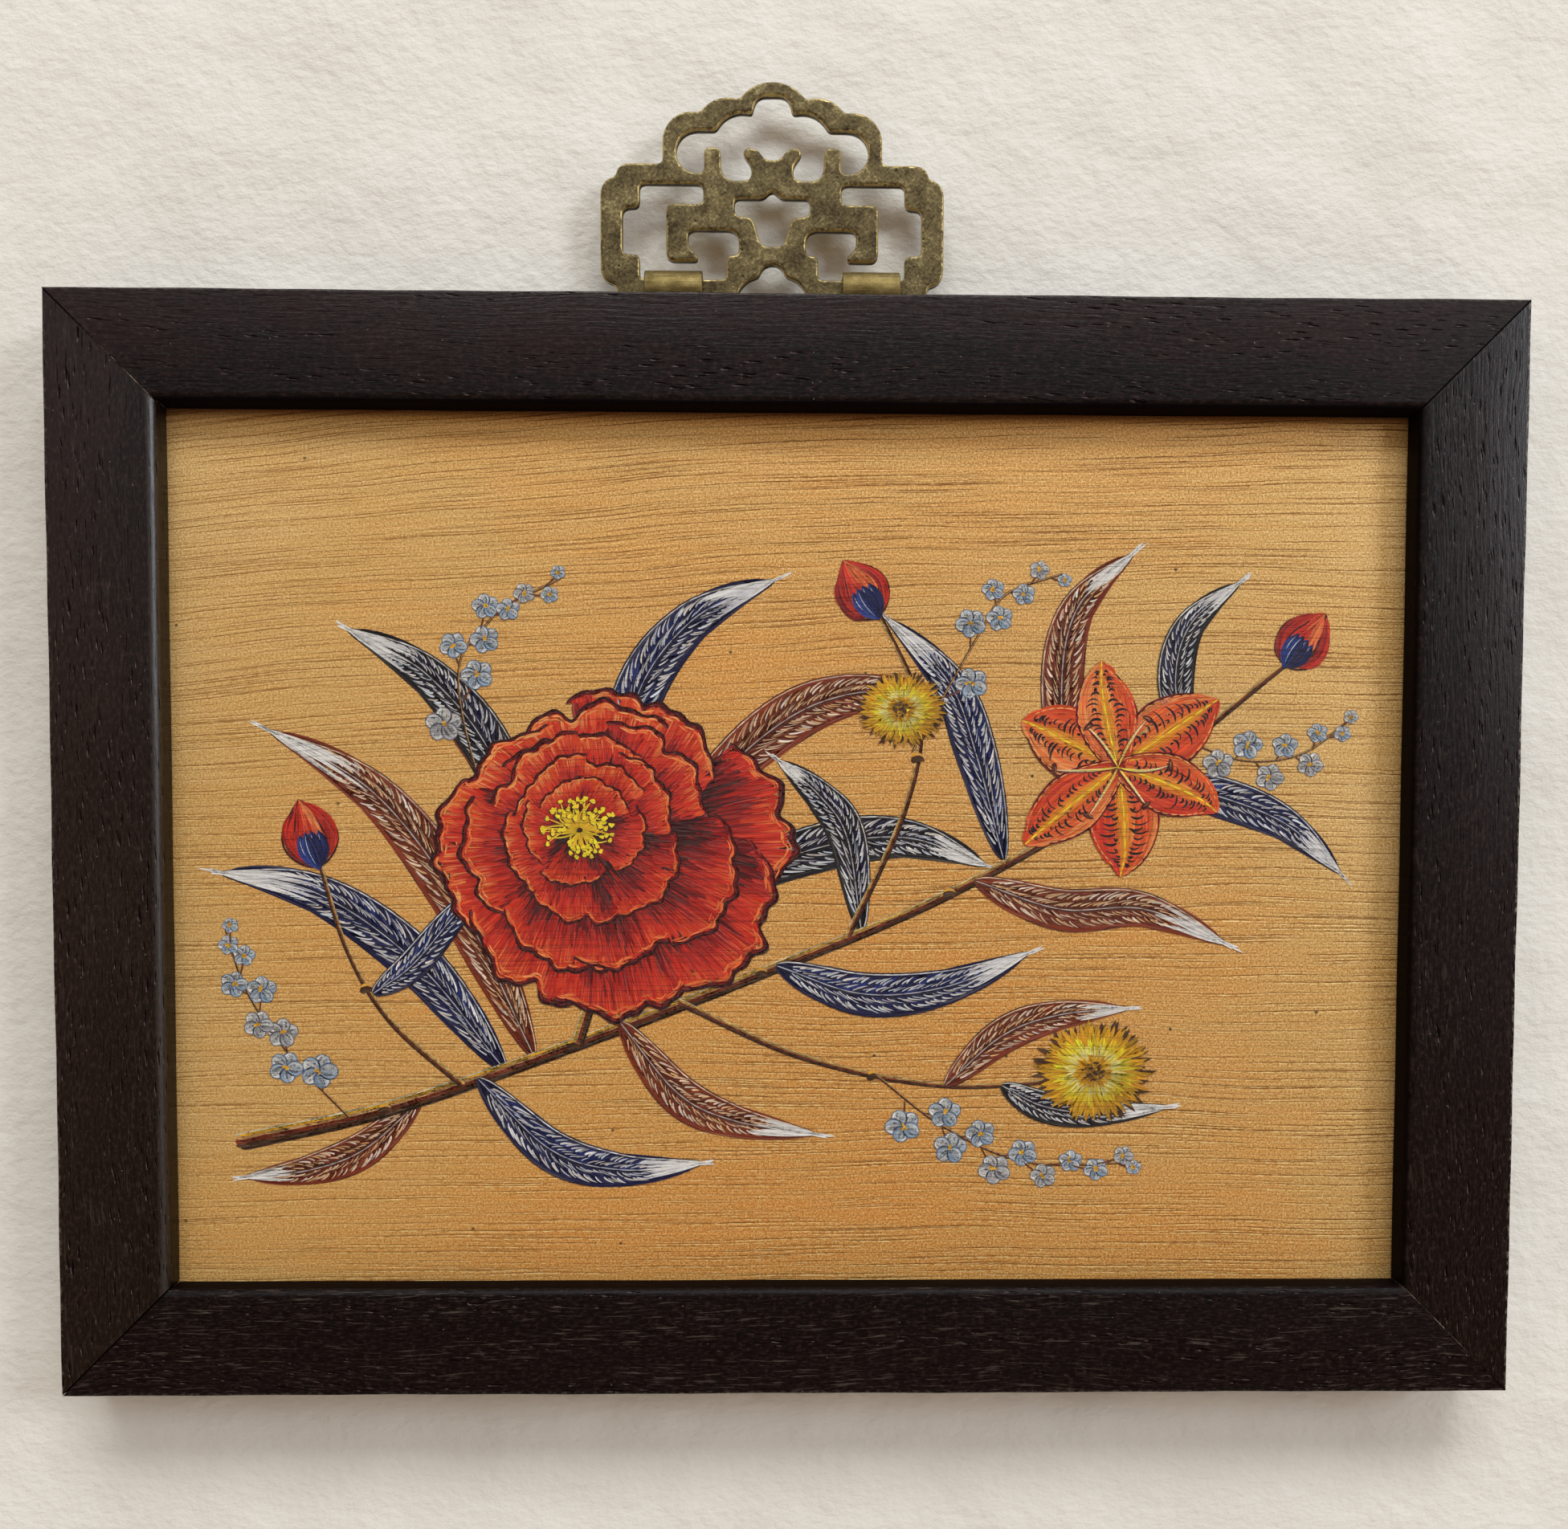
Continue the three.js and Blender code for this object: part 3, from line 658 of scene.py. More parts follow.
def rail(side, number):
    """One rail, worked out as the top rail lies and turned to its side of the frame."""
    level = side in ("top", "bottom")
    half_length, reach = (OUTER_HALF, OUTER_HALF_HIGH) if level else (OUTER_HALF_HIGH, OUTER_HALF)
    along, inward, back = rail_points(half_length, RAILS[side]["gaps"], 10 + number)
    out = reach - inward
    turned = {"top": (along, out), "bottom": (-along, -out), "right": (out, -along), "left": (-out, along)}
    across, up = turned[side]
    mesh = tube(side + "_rail", MIDDLE_X + across, FRONT_Y + back, MIDDLE_Z + up)
    wood = stained_wood(side, number)
    return add_piece(side + "_rail", mesh, wood, replaces=["rail_" + side])


def mitre_filler(name, corner_x, corner_z, material):
    """A thin leaf of filler on a mitre's plane: the rail's section, as thick as the gap."""
    section = rail_section() * FILLER_SHARE + np.array([0.1, 0.06])
    inward, back = section[:, 0], section[:, 1]
    thick = np.array([-0.5, 0.5])[:, None] * FILLER_THICK
    x = corner_x * (OUTER_HALF - inward)[None] + thick * corner_z * corner_x
    z = corner_z * (OUTER_HALF_HIGH - inward)[None] - thick
    return add_piece(name, tube(name, MIDDLE_X + x, FRONT_Y + back, MIDDLE_Z + z), material)


# The hanging plate

WIDEST_RING = 0.2
RING_TOLERANCE = 0.02
POINT_SPACING = 0.2
TIMES_WORN = 7
ROUND_FRONT = 0.34
ROUND_BACK = 0.16
RING_DEPTHS = (0.04, 0.12, 0.22, 0.36, 0.6)
GRID_SPACING = 0.62
RIDGE_SHARE = 0.55


def plate_outlines():
    """The plate's outer and inner outlines, read from the solid's widest ring of edges, with
    their corners worn round."""
    work = merged("hanger_plate")
    ring_y = min(v.co.y for v in work.verts) + WIDEST_RING * MM
    ring = [e for e in work.edges if all(abs(v.co.y - ring_y) < RING_TOLERANCE * MM for v in e.verts)]
    following = {}
    for edge in ring:
        a, b = edge.verts
        following.setdefault(a.index, []).append(b.index)
        following.setdefault(b.index, []).append(a.index)
    work.verts.ensure_lookup_table()
    loops = []
    seen = set()
    for start in following:
        if start in seen:
            continue
        loop = [start]
        seen.add(start)
        while True:
            onward = [n for n in following[loop[-1]] if n not in seen]
            if not onward:
                break
            loop.append(onward[0])
            seen.add(onward[0])
        loops.append(np.array([[work.verts[n].co.x, work.verts[n].co.z] for n in loop]) / MM)
    work.free()
    loops = [worn(even(loop, POINT_SPACING), TIMES_WORN) for loop in loops if len(loop) > 8]
    return [even(loop, POINT_SPACING) for loop in loops]


def worn(loop, times):
    """A closed outline whose points have moved, a number of times, to the mean of themselves
    (counted twice) and their two neighbours."""
    for _ in range(times):
        loop = (np.roll(loop, 1, axis=0) + loop * 2 + np.roll(loop, -1, axis=0)) / 4
    return loop


def even(loop, spacing):
    """The closed outline with its points evenly spaced along it."""
    closed = np.vstack([loop, loop[:1]])
    lengths = np.linalg.norm(np.diff(closed, axis=0), axis=1)
    run = np.concatenate([[0], np.cumsum(lengths)])
    count = max(12, int(round(run[-1] / spacing)))
    place = np.linspace(0, run[-1], count, endpoint=False)
    return np.stack([np.interp(place, run, closed[:, i]) for i in range(2)], axis=1)


def loop_edges(loops):
    """The starts and ends of all edges of the outlines."""
    ends = [np.roll(loop, -1, axis=0) for loop in loops]
    return np.concatenate(loops).astype(np.float32), np.concatenate(ends).astype(np.float32)


def inside(points, loops):
    """Whether each point is inside the plate: a ray to its right crosses the outlines an odd
    number of times."""
    starts, ends = loop_edges(loops)
    rise = ends[:, 1] - starts[:, 1]
    slope = (ends[:, 0] - starts[:, 0]) / np.where(rise == 0, 1e-9, rise)
    result = []
    for part in np.array_split(points.astype(np.float32), len(points) // 1000 + 1):
        up = part[:, 1:2]
        spans = (starts[:, 1] > up) != (ends[:, 1] > up)
        cross_x = starts[:, 0] + (up - starts[:, 1]) * slope
        result.append(np.count_nonzero(spans & (cross_x > part[:, :1]), axis=1) % 2 == 1)
    return np.concatenate(result)


def outline_distance(points, loops):
    """Each point's distance from the nearest outline edge."""
    starts, ends = loop_edges(loops)
    edge = ends - starts
    squared = (edge ** 2).sum(1)
    result = []
    for part in np.array_split(points.astype(np.float32), len(points) // 500 + 1):
        to_x = part[:, :1] - starts[:, 0]
        to_z = part[:, 1:2] - starts[:, 1]
        share = np.clip((to_x * edge[:, 0] + to_z * edge[:, 1]) / squared, 0, 1)
        to_x -= share * edge[:, 0]
        to_z -= share * edge[:, 1]
        result.append(np.sqrt((to_x * to_x + to_z * to_z).min(axis=1)))
    return np.concatenate(result)


def plate_face(loops, rings, spacing):
    """Points and triangles that fill the plate's outline: the outlines, rings of points at set
    depths inside them, and a staggered grid in the middle, joined by Delaunay's rule."""
    outline = np.concatenate(loops)
    normals = []
    for loop in loops:
        tangent = np.roll(loop, -1, axis=0) - np.roll(loop, 1, axis=0)
        tangent /= np.linalg.norm(tangent, axis=1)[:, None]
        normals.append(turned_left(tangent))
    normal = np.concatenate(normals)
    normal *= np.where(inside(outline + normal * 0.05, loops), 1, -1)[:, None]
    points = [outline]
    depths = [np.zeros(len(outline))]
    for ring in rings:
        moved = outline + normal * ring
        kept = inside(moved, loops) & (outline_distance(moved, loops) > ring * 0.93)
        points.append(moved[kept])
        depths.append(np.full(np.count_nonzero(kept), ring))
    low, high = outline.min(0), outline.max(0)
    across = np.arange(low[0], high[0], spacing)
    up = np.arange(low[1], high[1], spacing * 0.87)
    grid = np.stack(np.meshgrid(across, up), axis=-1)
    grid[1::2, :, 0] += spacing / 2
    grid = grid.reshape(-1, 2)
    grid = grid[inside(grid, loops)]
    distance = outline_distance(grid, loops)
    kept = distance > rings[-1] + spacing * 0.4
    points = np.concatenate([*points, grid[kept]])
    depths = np.concatenate([*depths, distance[kept]])
    edges = []
    start = 0
    for loop in loops:
        index = np.arange(len(loop)) + start
        edges.append(np.stack([index, np.roll(index, -1)], axis=1))
        start += len(loop)
    edges = np.concatenate(edges)
    made = delaunay_2d_cdt([Vector(p) for p in points], edges.tolist(), [], 0, 1e-6)
    places = np.array([[p.x, p.y] for p in made[0]])
    triangles = np.array(made[2])
    triangles = triangles[inside(places[triangles].mean(1), loops)]
    from_input = np.full(len(points), -1)
    for index, origins in enumerate(made[3]):
        for origin in origins:
            from_input[origin] = index
    depth = np.zeros(len(places))
    depth[from_input] = depths
    return places, triangles, from_input[edges], depth


def hanger_plate(material):
    """The pierced plate: the same filled outline in front and behind, joined by walls. Near
    an outline the front falls away by a quarter circle, and the back by a smaller one."""
    loops = plate_outlines()
    places, triangles, edges, depth = plate_face(loops, RING_DEPTHS, GRID_SPACING)
    outline = np.unique(edges)
    depth[outline] = 0
    front_y, back_y = PLATE_LOW[1], PLATE_HIGH[1]

    def fall(radius):
        short = np.clip(radius - depth, 0, radius)
        return radius - np.sqrt(np.maximum(radius ** 2 - short ** 2, 0))

    wave = 0.012 * np.sin(places[:, 0] * 0.9 + 1.0) * np.sin(places[:, 1] * 1.1)
    front = front_y + fall(ROUND_FRONT) + BEHIND_SOLID + wave
    back = back_y - fall(ROUND_BACK)
    ridge = np.full(len(outline), front_y + (back_y - front_y) * RIDGE_SHARE)
    layers = ((places, front), (places, back), (places[outline], ridge))
    points = np.concatenate([np.stack([flat[:, 0], y, flat[:, 1]], axis=1) for flat, y in layers])
    count = len(places)
    middle_index = np.full(count, -1)
    middle_index[outline] = 2 * count + np.arange(len(outline))
    a, b = edges[:, 0], edges[:, 1]
    upper = np.stack([a, b, middle_index[b], middle_index[a]], axis=1)
    lower = np.stack([middle_index[a], middle_index[b], b + count, a + count], axis=1)
    quads = np.concatenate([upper, lower])
    wall_triangles = np.concatenate([quads[:, [0, 1, 2]], quads[:, [0, 2, 3]]])
    faces = np.concatenate([triangles, triangles[:, ::-1] + count, wall_triangles])
    mesh = make_mesh("pierced_plate", points, faces)
    close_and_turn(mesh, fill=False)
    rim = np.exp(-((np.maximum(depth - 0.1, 0) / 0.3) ** 1.5))
    add_attribute(mesh, "rim", np.concatenate([rim, rim * 0.8, np.zeros(len(outline))]))
    wall = np.zeros(len(points))
    wall[2 * count:] = 1
    add_attribute(mesh, "wall", wall)
    return add_piece("pierced_plate", mesh, material, "hanger", ["hanger_plate"], None)


# The straps: the bar's middle, the rolled loop's bore and turn, the sheet and its end corners
HINGE_Z = -26.65
HINGE_BORE = 1.95
STRAP_TURN = math.radians(295)
STRAP_THICK = 0.6
STRAP_CORNER = 1.5


def strap(name, node, material):
    """A rolled strap: a rounded strip section carried round the bar and down the rail's back.
    Near the leaf's end the strip narrows by a quarter circle at each corner."""
    low, high = box_mm(node)
    middle = (low[0] + high[0]) / 2
    half = (high[0] - low[0]) / 2 - BEHIND_SOLID
    thick, corner = STRAP_THICK, STRAP_CORNER
    radius = HINGE_BORE + thick / 2
    angle = np.linspace(STRAP_TURN, 0, 72)
    curl = rays(angle) * radius + [0, HINGE_Z]
    leaf_z = np.concatenate([
        np.linspace(HINGE_Z, low[2] + corner, 16)[1:],
        low[2] + corner * (1 - np.sin(np.linspace(0, math.pi / 2, 12)))[1:],
    ])
    leaf = np.stack([np.full(len(leaf_z), radius), leaf_z], axis=1)
    path = np.concatenate([curl, leaf])
    out = np.concatenate([rays(angle), np.tile([1.0, 0.0], (len(leaf), 1))])
    left = np.maximum(path[:, 1] - low[2], 0)
    near_end = (np.arange(len(path)) >= len(curl)) & (left < corner)
    cut = np.where(near_end, corner - np.sqrt(np.maximum(corner ** 2 - (corner - left) ** 2, 0)), 0)
    section = fillet([
        [-half, -thick / 2, 0.14], [half, -thick / 2, 0.14],
        [half, thick / 2, 0.18], [-half, thick / 2, 0.18],
    ], steps=4)
    narrow = (half - cut) / half
    x = middle + section[None, :, 0] * narrow[:, None]
    y, z = (path[:, i:i + 1] + out[:, i:i + 1] * section[None, :, 1] for i in range(2))
    return add_piece(name, tube(name, x, y, z), material, replaces=[node])


# The painted design: a flowering spray in thousands of brush strokes

STATIONS = 9


def unit(vectors):
    """The vectors, each divided by its length."""
    return vectors / np.maximum(np.linalg.norm(vectors, axis=-1, keepdims=True), 1e-9)


def heading(degrees):
    """The direction at an angle."""
    angle = math.radians(degrees)
    return np.array([math.cos(angle), math.sin(angle)])


LIT_FROM = heading(125)
LEAN = heading(-38)


def tones(*colours):
    """Display colours as rows of linear red, green and blue."""
    return np.array([srgb(*colour)[:3] for colour in colours])


def tint(colour, other, share):
    """Goes from the colour to the other one by a share, or by a share for each row."""
    return colour + (other - colour) * np.clip(share, 0, 1)[..., None]


def grade(colour, *steps):
    """Goes from the colour to each further one in turn, by its own share for each row."""
    for other, share in steps:
        colour = tint(colour, other, share)
    return colour


class Paint:
    """Brush strokes in the order that they are laid. A stroke is a quadratic curve through its
    start, middle and end, a half width, a colour at each end, and how blunt its start is."""

    def __init__(self, seed):
        self.dice = np.random.default_rng(seed)
        self.strokes = []

    def lay(self, start, middle, end, half_width, first, last=None, blunt=0.5):
        """Adds strokes. Widths and colours are one for all of them or one for each."""
        start, middle, end = (np.atleast_2d(p).astype(float) for p in (start, middle, end))
        count = len(start)
        last = first if last is None else last
        self.strokes.append(np.concatenate([
            start,
            2 * middle - (start + end) / 2,
            end,
            np.broadcast_to(np.reshape(half_width, (-1, 1)), (count, 1)),
            np.broadcast_to(first, (count, 3)),
            np.broadcast_to(last, (count, 3)),
            np.broadcast_to(np.reshape(blunt, (-1, 1)), (count, 1)),
        ], axis=1))

    def vary(self, colours, amount):
        """The colours, each a little lighter or darker, and a little warmer or cooler."""
        shape = colours.shape[:-1]
        light = np.exp(self.dice.normal(0, amount, shape))[..., None]
        warm = self.dice.normal(0, amount * 0.35, shape)
        shift = np.stack([1 + warm, np.ones(shape), 1 - warm], axis=-1)
        return np.clip(colours * light * shift, 0, 1)

    def shades(self, colour, count, amount):
        """The one colour, varied, in a number of rows."""
        return self.vary(np.tile(colour, (count, 1)), amount)

    def dash(self, place, across, along, steps, half_width, first, last=None, blunt=0.5):
        """Lays strokes whose middle and end are a step across and along from their start."""
        points = [place(across + step[0], along + step[1]) for step in ((0, 0), *steps)]
        self.lay(*points, half_width, first, last, blunt)

    def follow(self, place, across, start, length, half_width, first, last=None, blunt=0.5):
        """Lays strokes that run along a petal or leaf: place gives a point from how far across
        and how far along it lies."""
        points = [place(across, np.clip(start + length * share, 0, 1.04)) for share in (0, 0.5, 1)]
        self.lay(*points, half_width, first, last, blunt)

    def piece(self, name, material, low, high):
        """All strokes as one mesh, each stroke a ribbon of quads that lies a little higher than
        the stroke before it, with its own cell of the UV map."""
        data = np.concatenate(self.strokes)[:, None]
        count = len(data)
        order = np.arange(count)
        share = np.linspace(0, 1, STATIONS)[None, :, None]
        start, bend, end, half_width, first, last, blunt = np.split(data, (2, 4, 6, 7, 10, 13), axis=-1)
        centre = (1 - share) ** 2 * start + 2 * share * (1 - share) * bend + share ** 2 * end
        ahead = unit((1 - share) * (bend - start) + share * (end - bend) + 1e-9)
        swell = (share + 0.002) ** (0.75 - 0.6 * blunt) * (1.002 - share) ** 0.62
        swell /= swell.max(axis=1, keepdims=True)
        side = turned_left(ahead) * swell * half_width
        lift = low + (high - low) * order[:, None, None] / count
        flat = np.stack([centre - side, centre + side], axis=2)
        points = np.stack([
            MIDDLE_X + flat[..., 0],
            np.broadcast_to(PANEL_FRONT - lift, flat.shape[:3]),
            MIDDLE_Z + flat[..., 1],
        ], axis=-1)
        faces = (grid_quads(STATIONS, 2)[None] + order[:, None, None] * STATIONS * 2).reshape(-1, 4)
        mesh = make_mesh(name, points.reshape(-1, 3), faces)
        add_attribute(mesh, "across", np.tile([-1.0, 1.0], count * STATIONS))
        hue = first * (1 - share) + last * share
        hue = np.broadcast_to(hue[:, :, None], (count, STATIONS, 2, 3))
        hue = np.concatenate([hue, np.ones(hue.shape[:-1] + (1,))], axis=-1)
        layer = mesh.attributes.new("paint", "FLOAT_COLOR", "POINT")
        layer.data.foreach_set("color", hue.astype(np.float32).ravel())
        cells = int(math.ceil(math.sqrt(count)))
        cell = np.stack([order % cells, order // cells], axis=-1)[:, None, None]
        inset = np.stack(np.broadcast_arrays(0.08 + 0.84 * share, np.array([0.12, 0.88])), axis=-1)
        uv = ((cell + inset) / cells).reshape(-1, 2)
        uv_map = mesh.uv_layers.new(name="OFBake")
        uv_map.data.foreach_set("uv", uv[faces.ravel()].astype(np.float32).ravel())
        return add_piece(name, mesh, material, smooth=None)


def brush_paint():
    """Matt paint laid with a fine brush: each stroke's own colour, streaked by the hairs. The
    panel's grain still shows through it."""
    paint = Finish("brush_paint", Specular_IOR_Level=0.3)
    uv = paint.node("UVMap", {"uv_map": "OFBake"})
    run, over, _ = paint.parts(uv)
    hairs = paint.noise(run * 55.0, over * 520.0, 0.0, 2.0, 0.6)
    lines, ribs, _ = panel_grain(paint)
    x, _, z = paint.axes()
    mottle = paint.noise(x, z, 0.0, 3.0, 0.6, 1.2)
    across = paint.attribute("across")
    colour = paint.attribute("paint", "Color")
    for kind, share, over in (
        ("MULTIPLY", paint.step(hairs, 0.62, 0.3) * 0.35, (20, 12, 12)),
        ("SCREEN", paint.step(hairs, 0.5, 0.75) * 0.12, (250, 236, 214)),
        ("MULTIPLY", paint.step(mottle, 0.3, 0.7) * 0.1, (40, 22, 18)),
        ("MIX", lines * 0.3, (40, 22, 14)),
    ):
        colour = paint.mix(share, colour, srgb(*over), kind)
    height = (1.0 - across * across) * 0.012 + hairs * 0.01 - lines * 0.04 + ribs * 0.02
    return paint.finish(colour, hairs * 0.2 + 0.42, height)


def through(*points):
    """A smooth curve through the points, as a function of how far along it a place is: each
    span is a cubic whose slope at a point comes from the points on both sides."""
    points = np.array(points, float)
    slopes = np.gradient(points, axis=0)

    def place(share):
        share = np.clip(np.asarray(share, float), 0, 1) * (len(points) - 1)
        span = np.minimum(share.astype(int), len(points) - 2)
        t = (share - span)[..., None]
        a, b = points[span], points[span + 1]
        p, q = slopes[span], slopes[span + 1]
        return (
            a * (2 * t ** 3 - 3 * t ** 2 + 1) + p * (t ** 3 - 2 * t ** 2 + t)
            + b * (3 * t ** 2 - 2 * t ** 3) + q * (t ** 3 - t ** 2)
        )

    return place


def beside(path, place, offset):
    """Points of a path at the given places, moved to its left by an offset."""
    ahead = path(np.minimum(place + 0.01, 1)) - path(np.maximum(place - 0.01, 0))
    return path(place) + turned_left(unit(ahead)) * np.asarray(offset)[..., None]


def blade(path, half, widest=0.45, start=0.0, sharp=0.0):
    """A pointed petal or leaf round a curved middle line. Its half width is a sine hump that
    is widest part of the way along, drawn to a finer tip if sharp, on top of a stalk as wide
    as start."""
    power = math.log(0.5) / math.log(widest)

    def place(across, along):
        across, along = np.broadcast_arrays(np.asarray(across, float), np.asarray(along, float))
        width = np.sin(math.pi * np.clip(along, 0, 1) ** power) ** 0.85 * half + start * (1 - along)
        width = width * (1 - sharp * np.clip(along * 1.7 - 0.7, 0, 1))
        return beside(path, along, across * width)

    return place


def fan_petal(base, angle, length, half, bend, notch, phase):
    """A broad petal: it widens as a power of the way along, and its rim is a shallow arch with
    a notch and small waves."""
    ahead = heading(angle)
    left = turned_left(ahead)

    def place(across, along):
        across, along = np.broadcast_arrays(np.asarray(across, float), np.asarray(along, float))
        rim = 1 - 0.26 * np.abs(across) ** 2.2 - notch * np.exp(-((across - 0.15) / 0.16) ** 2)
        rim = rim + 0.022 * np.sin(across * 9 + phase) + 0.012 * np.sin(across * 21 + phase * 2)
        reach = (along * (1 + (rim - 1) * along ** 2) * length)[..., None]
        spread = (across * half * along ** 0.6)[..., None]
        return base + ahead * reach + left * (spread + bend * half * (along ** 2)[..., None])

    return place


MAROON, DEEP_RED, CRIMSON, SCARLET, ORANGE, APRICOT = tones(
    (58, 8, 16), (112, 14, 20), (160, 22, 22), (208, 44, 26), (230, 90, 34), (247, 164, 92)
)
YELLOW, OLD_YELLOW, CREAM, BLACK, NAVY, BLUE = tones(
    (250, 222, 44), (236, 172, 30), (252, 238, 190), (18, 15, 20), (17, 19, 62), (38, 62, 140)
)
PALE_BLUE, WHITE, GREY, RUST, TAN, BROWN = tones(
    (150, 178, 206), (246, 244, 238), (176, 176, 180), (128, 50, 26), (206, 156, 96), (84, 50, 26)
)


def red_petal(paint, place, size, covered, lit):
    """A red petal. Its hidden share, next to the flower's heart, and the side under the next
    petal are deep red, and it grows lighter to its rim, the more the better lit it is. Wide
    strokes are laid first, then finer ones, veins, and a pale broken rim."""
    dice = paint.dice
    edge = np.linspace(-1, 0.92, 40)
    for level, width, hue in ((1.03, 0.3, MAROON), (1.012, 0.22, DEEP_RED)):
        paint.dash(place, edge, level, ((0.05, 0), (0.11, 0)), width * size, paint.shades(hue, 40, 0.25))
    for count, width, reach, spread in (
        (64, 0.95, 0.4, 0.1), (130, 0.42, 0.32, 0.2), (230, 0.17, 0.24, 0.28),
    ):
        across = dice.uniform(-1, 1, count)
        start = dice.uniform(max(covered - 0.35, -0.05), 0.95, count)
        order = np.argsort(start + dice.normal(0, 0.2, count))
        across, start = across[order], np.clip(start[order], 0, 1)
        length = np.minimum(dice.uniform(0.5, 1.2, count) * reach, 1.0 - start)
        band = (start + length * 0.5 - covered) / (1 - covered)
        fold = np.sin(across * 6.0 + lit * 9.0) * 0.09
        under = np.clip(across - 0.35, 0, 1) * 0.55
        level = band * (0.72 + 0.4 * lit) + fold - under + np.clip(-across - 0.6, 0, 1) * 0.35
        level = level + dice.normal(0, spread * 0.45, count)
        hue = grade(
            MAROON, (DEEP_RED, level * 7 + 0.6), (CRIMSON, (level - 0.08) * 5),
            (SCARLET, (level - 0.26) * 3.6), (ORANGE, (level - 0.66) * 2.2), (APRICOT, (level - 1.0) * 1.8),
        )
        paint.follow(
            place, across, start, length, width * size * dice.uniform(0.6, 1.2, count),
            paint.vary(hue * 0.9, spread * 0.3), paint.vary(hue, spread * 0.3), 0.35,
        )
    across = np.linspace(-0.82, 0.86, 11) + dice.normal(0, 0.02, 11)
    start = covered + 0.04 + dice.uniform(0, 0.12, 11)
    length = (0.9 - start) * dice.uniform(0.6, 1.0, 11)
    paint.follow(place, across, start, length, 0.075 * size, DEEP_RED, CRIMSON, 0.4)
    edge = dice.uniform(-1, 0.75, 34)
    level = dice.uniform(0.955, 1.005, 34)
    hue = tint(ORANGE, APRICOT, dice.uniform(0, 1, 34) * (0.4 + 0.8 * lit))
    paint.dash(place, edge, level, ((0.07, 0.006), (0.14, 0)), 0.11 * size, paint.vary(hue, 0.12))
    across = dice.uniform(-0.9, 0.3, 16)
    start = dice.uniform(0.62 + covered * 0.3, 0.86, 16)
    hue = paint.shades(tint(ORANGE, APRICOT, lit), 16, 0.15)
    paint.follow(place, across, start, 0.97 - start, 0.09 * size, SCARLET, hue, 0.3)


def stamens(paint, centre, reach, count, squash=0.85):
    """Fine yellow threads from the middle of a flower, each with a dot of pollen."""
    dice = paint.dice
    angle = dice.uniform(0, 2 * math.pi, count)
    far = reach * dice.uniform(0.35, 1.0, count)[:, None]
    out = rays(angle, squash)
    tip = centre + out * far
    bow = turned_left(out) * (dice.normal(0, 0.12, count)[:, None] * far)
    hue = tint(OLD_YELLOW, YELLOW, dice.uniform(0, 1, count))
    paint.lay(centre + out * 0.4, centre + out * far * 0.5 + bow, tip, 0.12, paint.vary(hue * 0.7, 0.1), hue)
    dot = rays(dice.uniform(0, math.pi, count)) * 0.36
    paint.lay(tip - dot - 0.1, tip - 0.1, tip + dot - 0.1, 0.32, paint.shades(BROWN, count, 0.2), blunt=0.9)
    paint.lay(tip - dot, tip, tip + dot, 0.26, paint.shades(YELLOW, count, 0.08), blunt=0.9)


def bloom_ring(paint, centre, size, turn, ring):
    """One ring of a wide flower's petals. The flower leans, so that the ring is longer on one
    side, and petals that point up to the left are the best lit."""
    count, reach, half, start, covered, grown = (
        (8, 1.0, 0.5, 0.0, 0.66, 1.0), (7, 0.76, 0.42, 27.0, 0.6, 0.85),
        (6, 0.52, 0.3, 9.0, 0.5, 0.7), (5, 0.31, 0.2, 40.0, 0.3, 0.6),
    )[ring]
    dice = paint.dice
    for i in range(count):
        angle = turn + start + 360.0 * i / count + dice.uniform(-7, 7)
        out = heading(angle)
        leaning = (1 + 0.14 * (out @ LEAN)) * (0.86 + 0.14 * abs(out[0]))
        long = size * reach * leaning * dice.uniform(0.93, 1.06)
        base = np.array(centre) + out * size * 0.04 - LEAN * size * 0.05 * ring
        bend, notch, phase = dice.uniform(-0.2, 0.2), dice.uniform(0, 0.09), dice.uniform(0, 6)
        place = fan_petal(base, angle, long, size * half, bend, notch, phase)
        red_petal(paint, place, max(size / 21 * grown, 0.5), covered, 0.5 + 0.5 * (out @ LIT_FROM))


def bloom_heart(paint, centre, size):
    """The dark heart of the wide flower, with its stamens."""
    dice = paint.dice
    out = rays(dice.uniform(0, 6.28, 90), 0.85)
    near = dice.uniform(0, 0.06, 90)[:, None] * size
    far = dice.uniform(0.1, 0.2, 90)[:, None] * size
    dark = paint.shades(MAROON * 0.6, 90, 0.3)
    paint.lay(centre + out * near, centre + out * (near + far) / 2, centre + out * far, 0.36, dark)
    stamens(paint, np.array(centre, float), size * 0.24, 90)


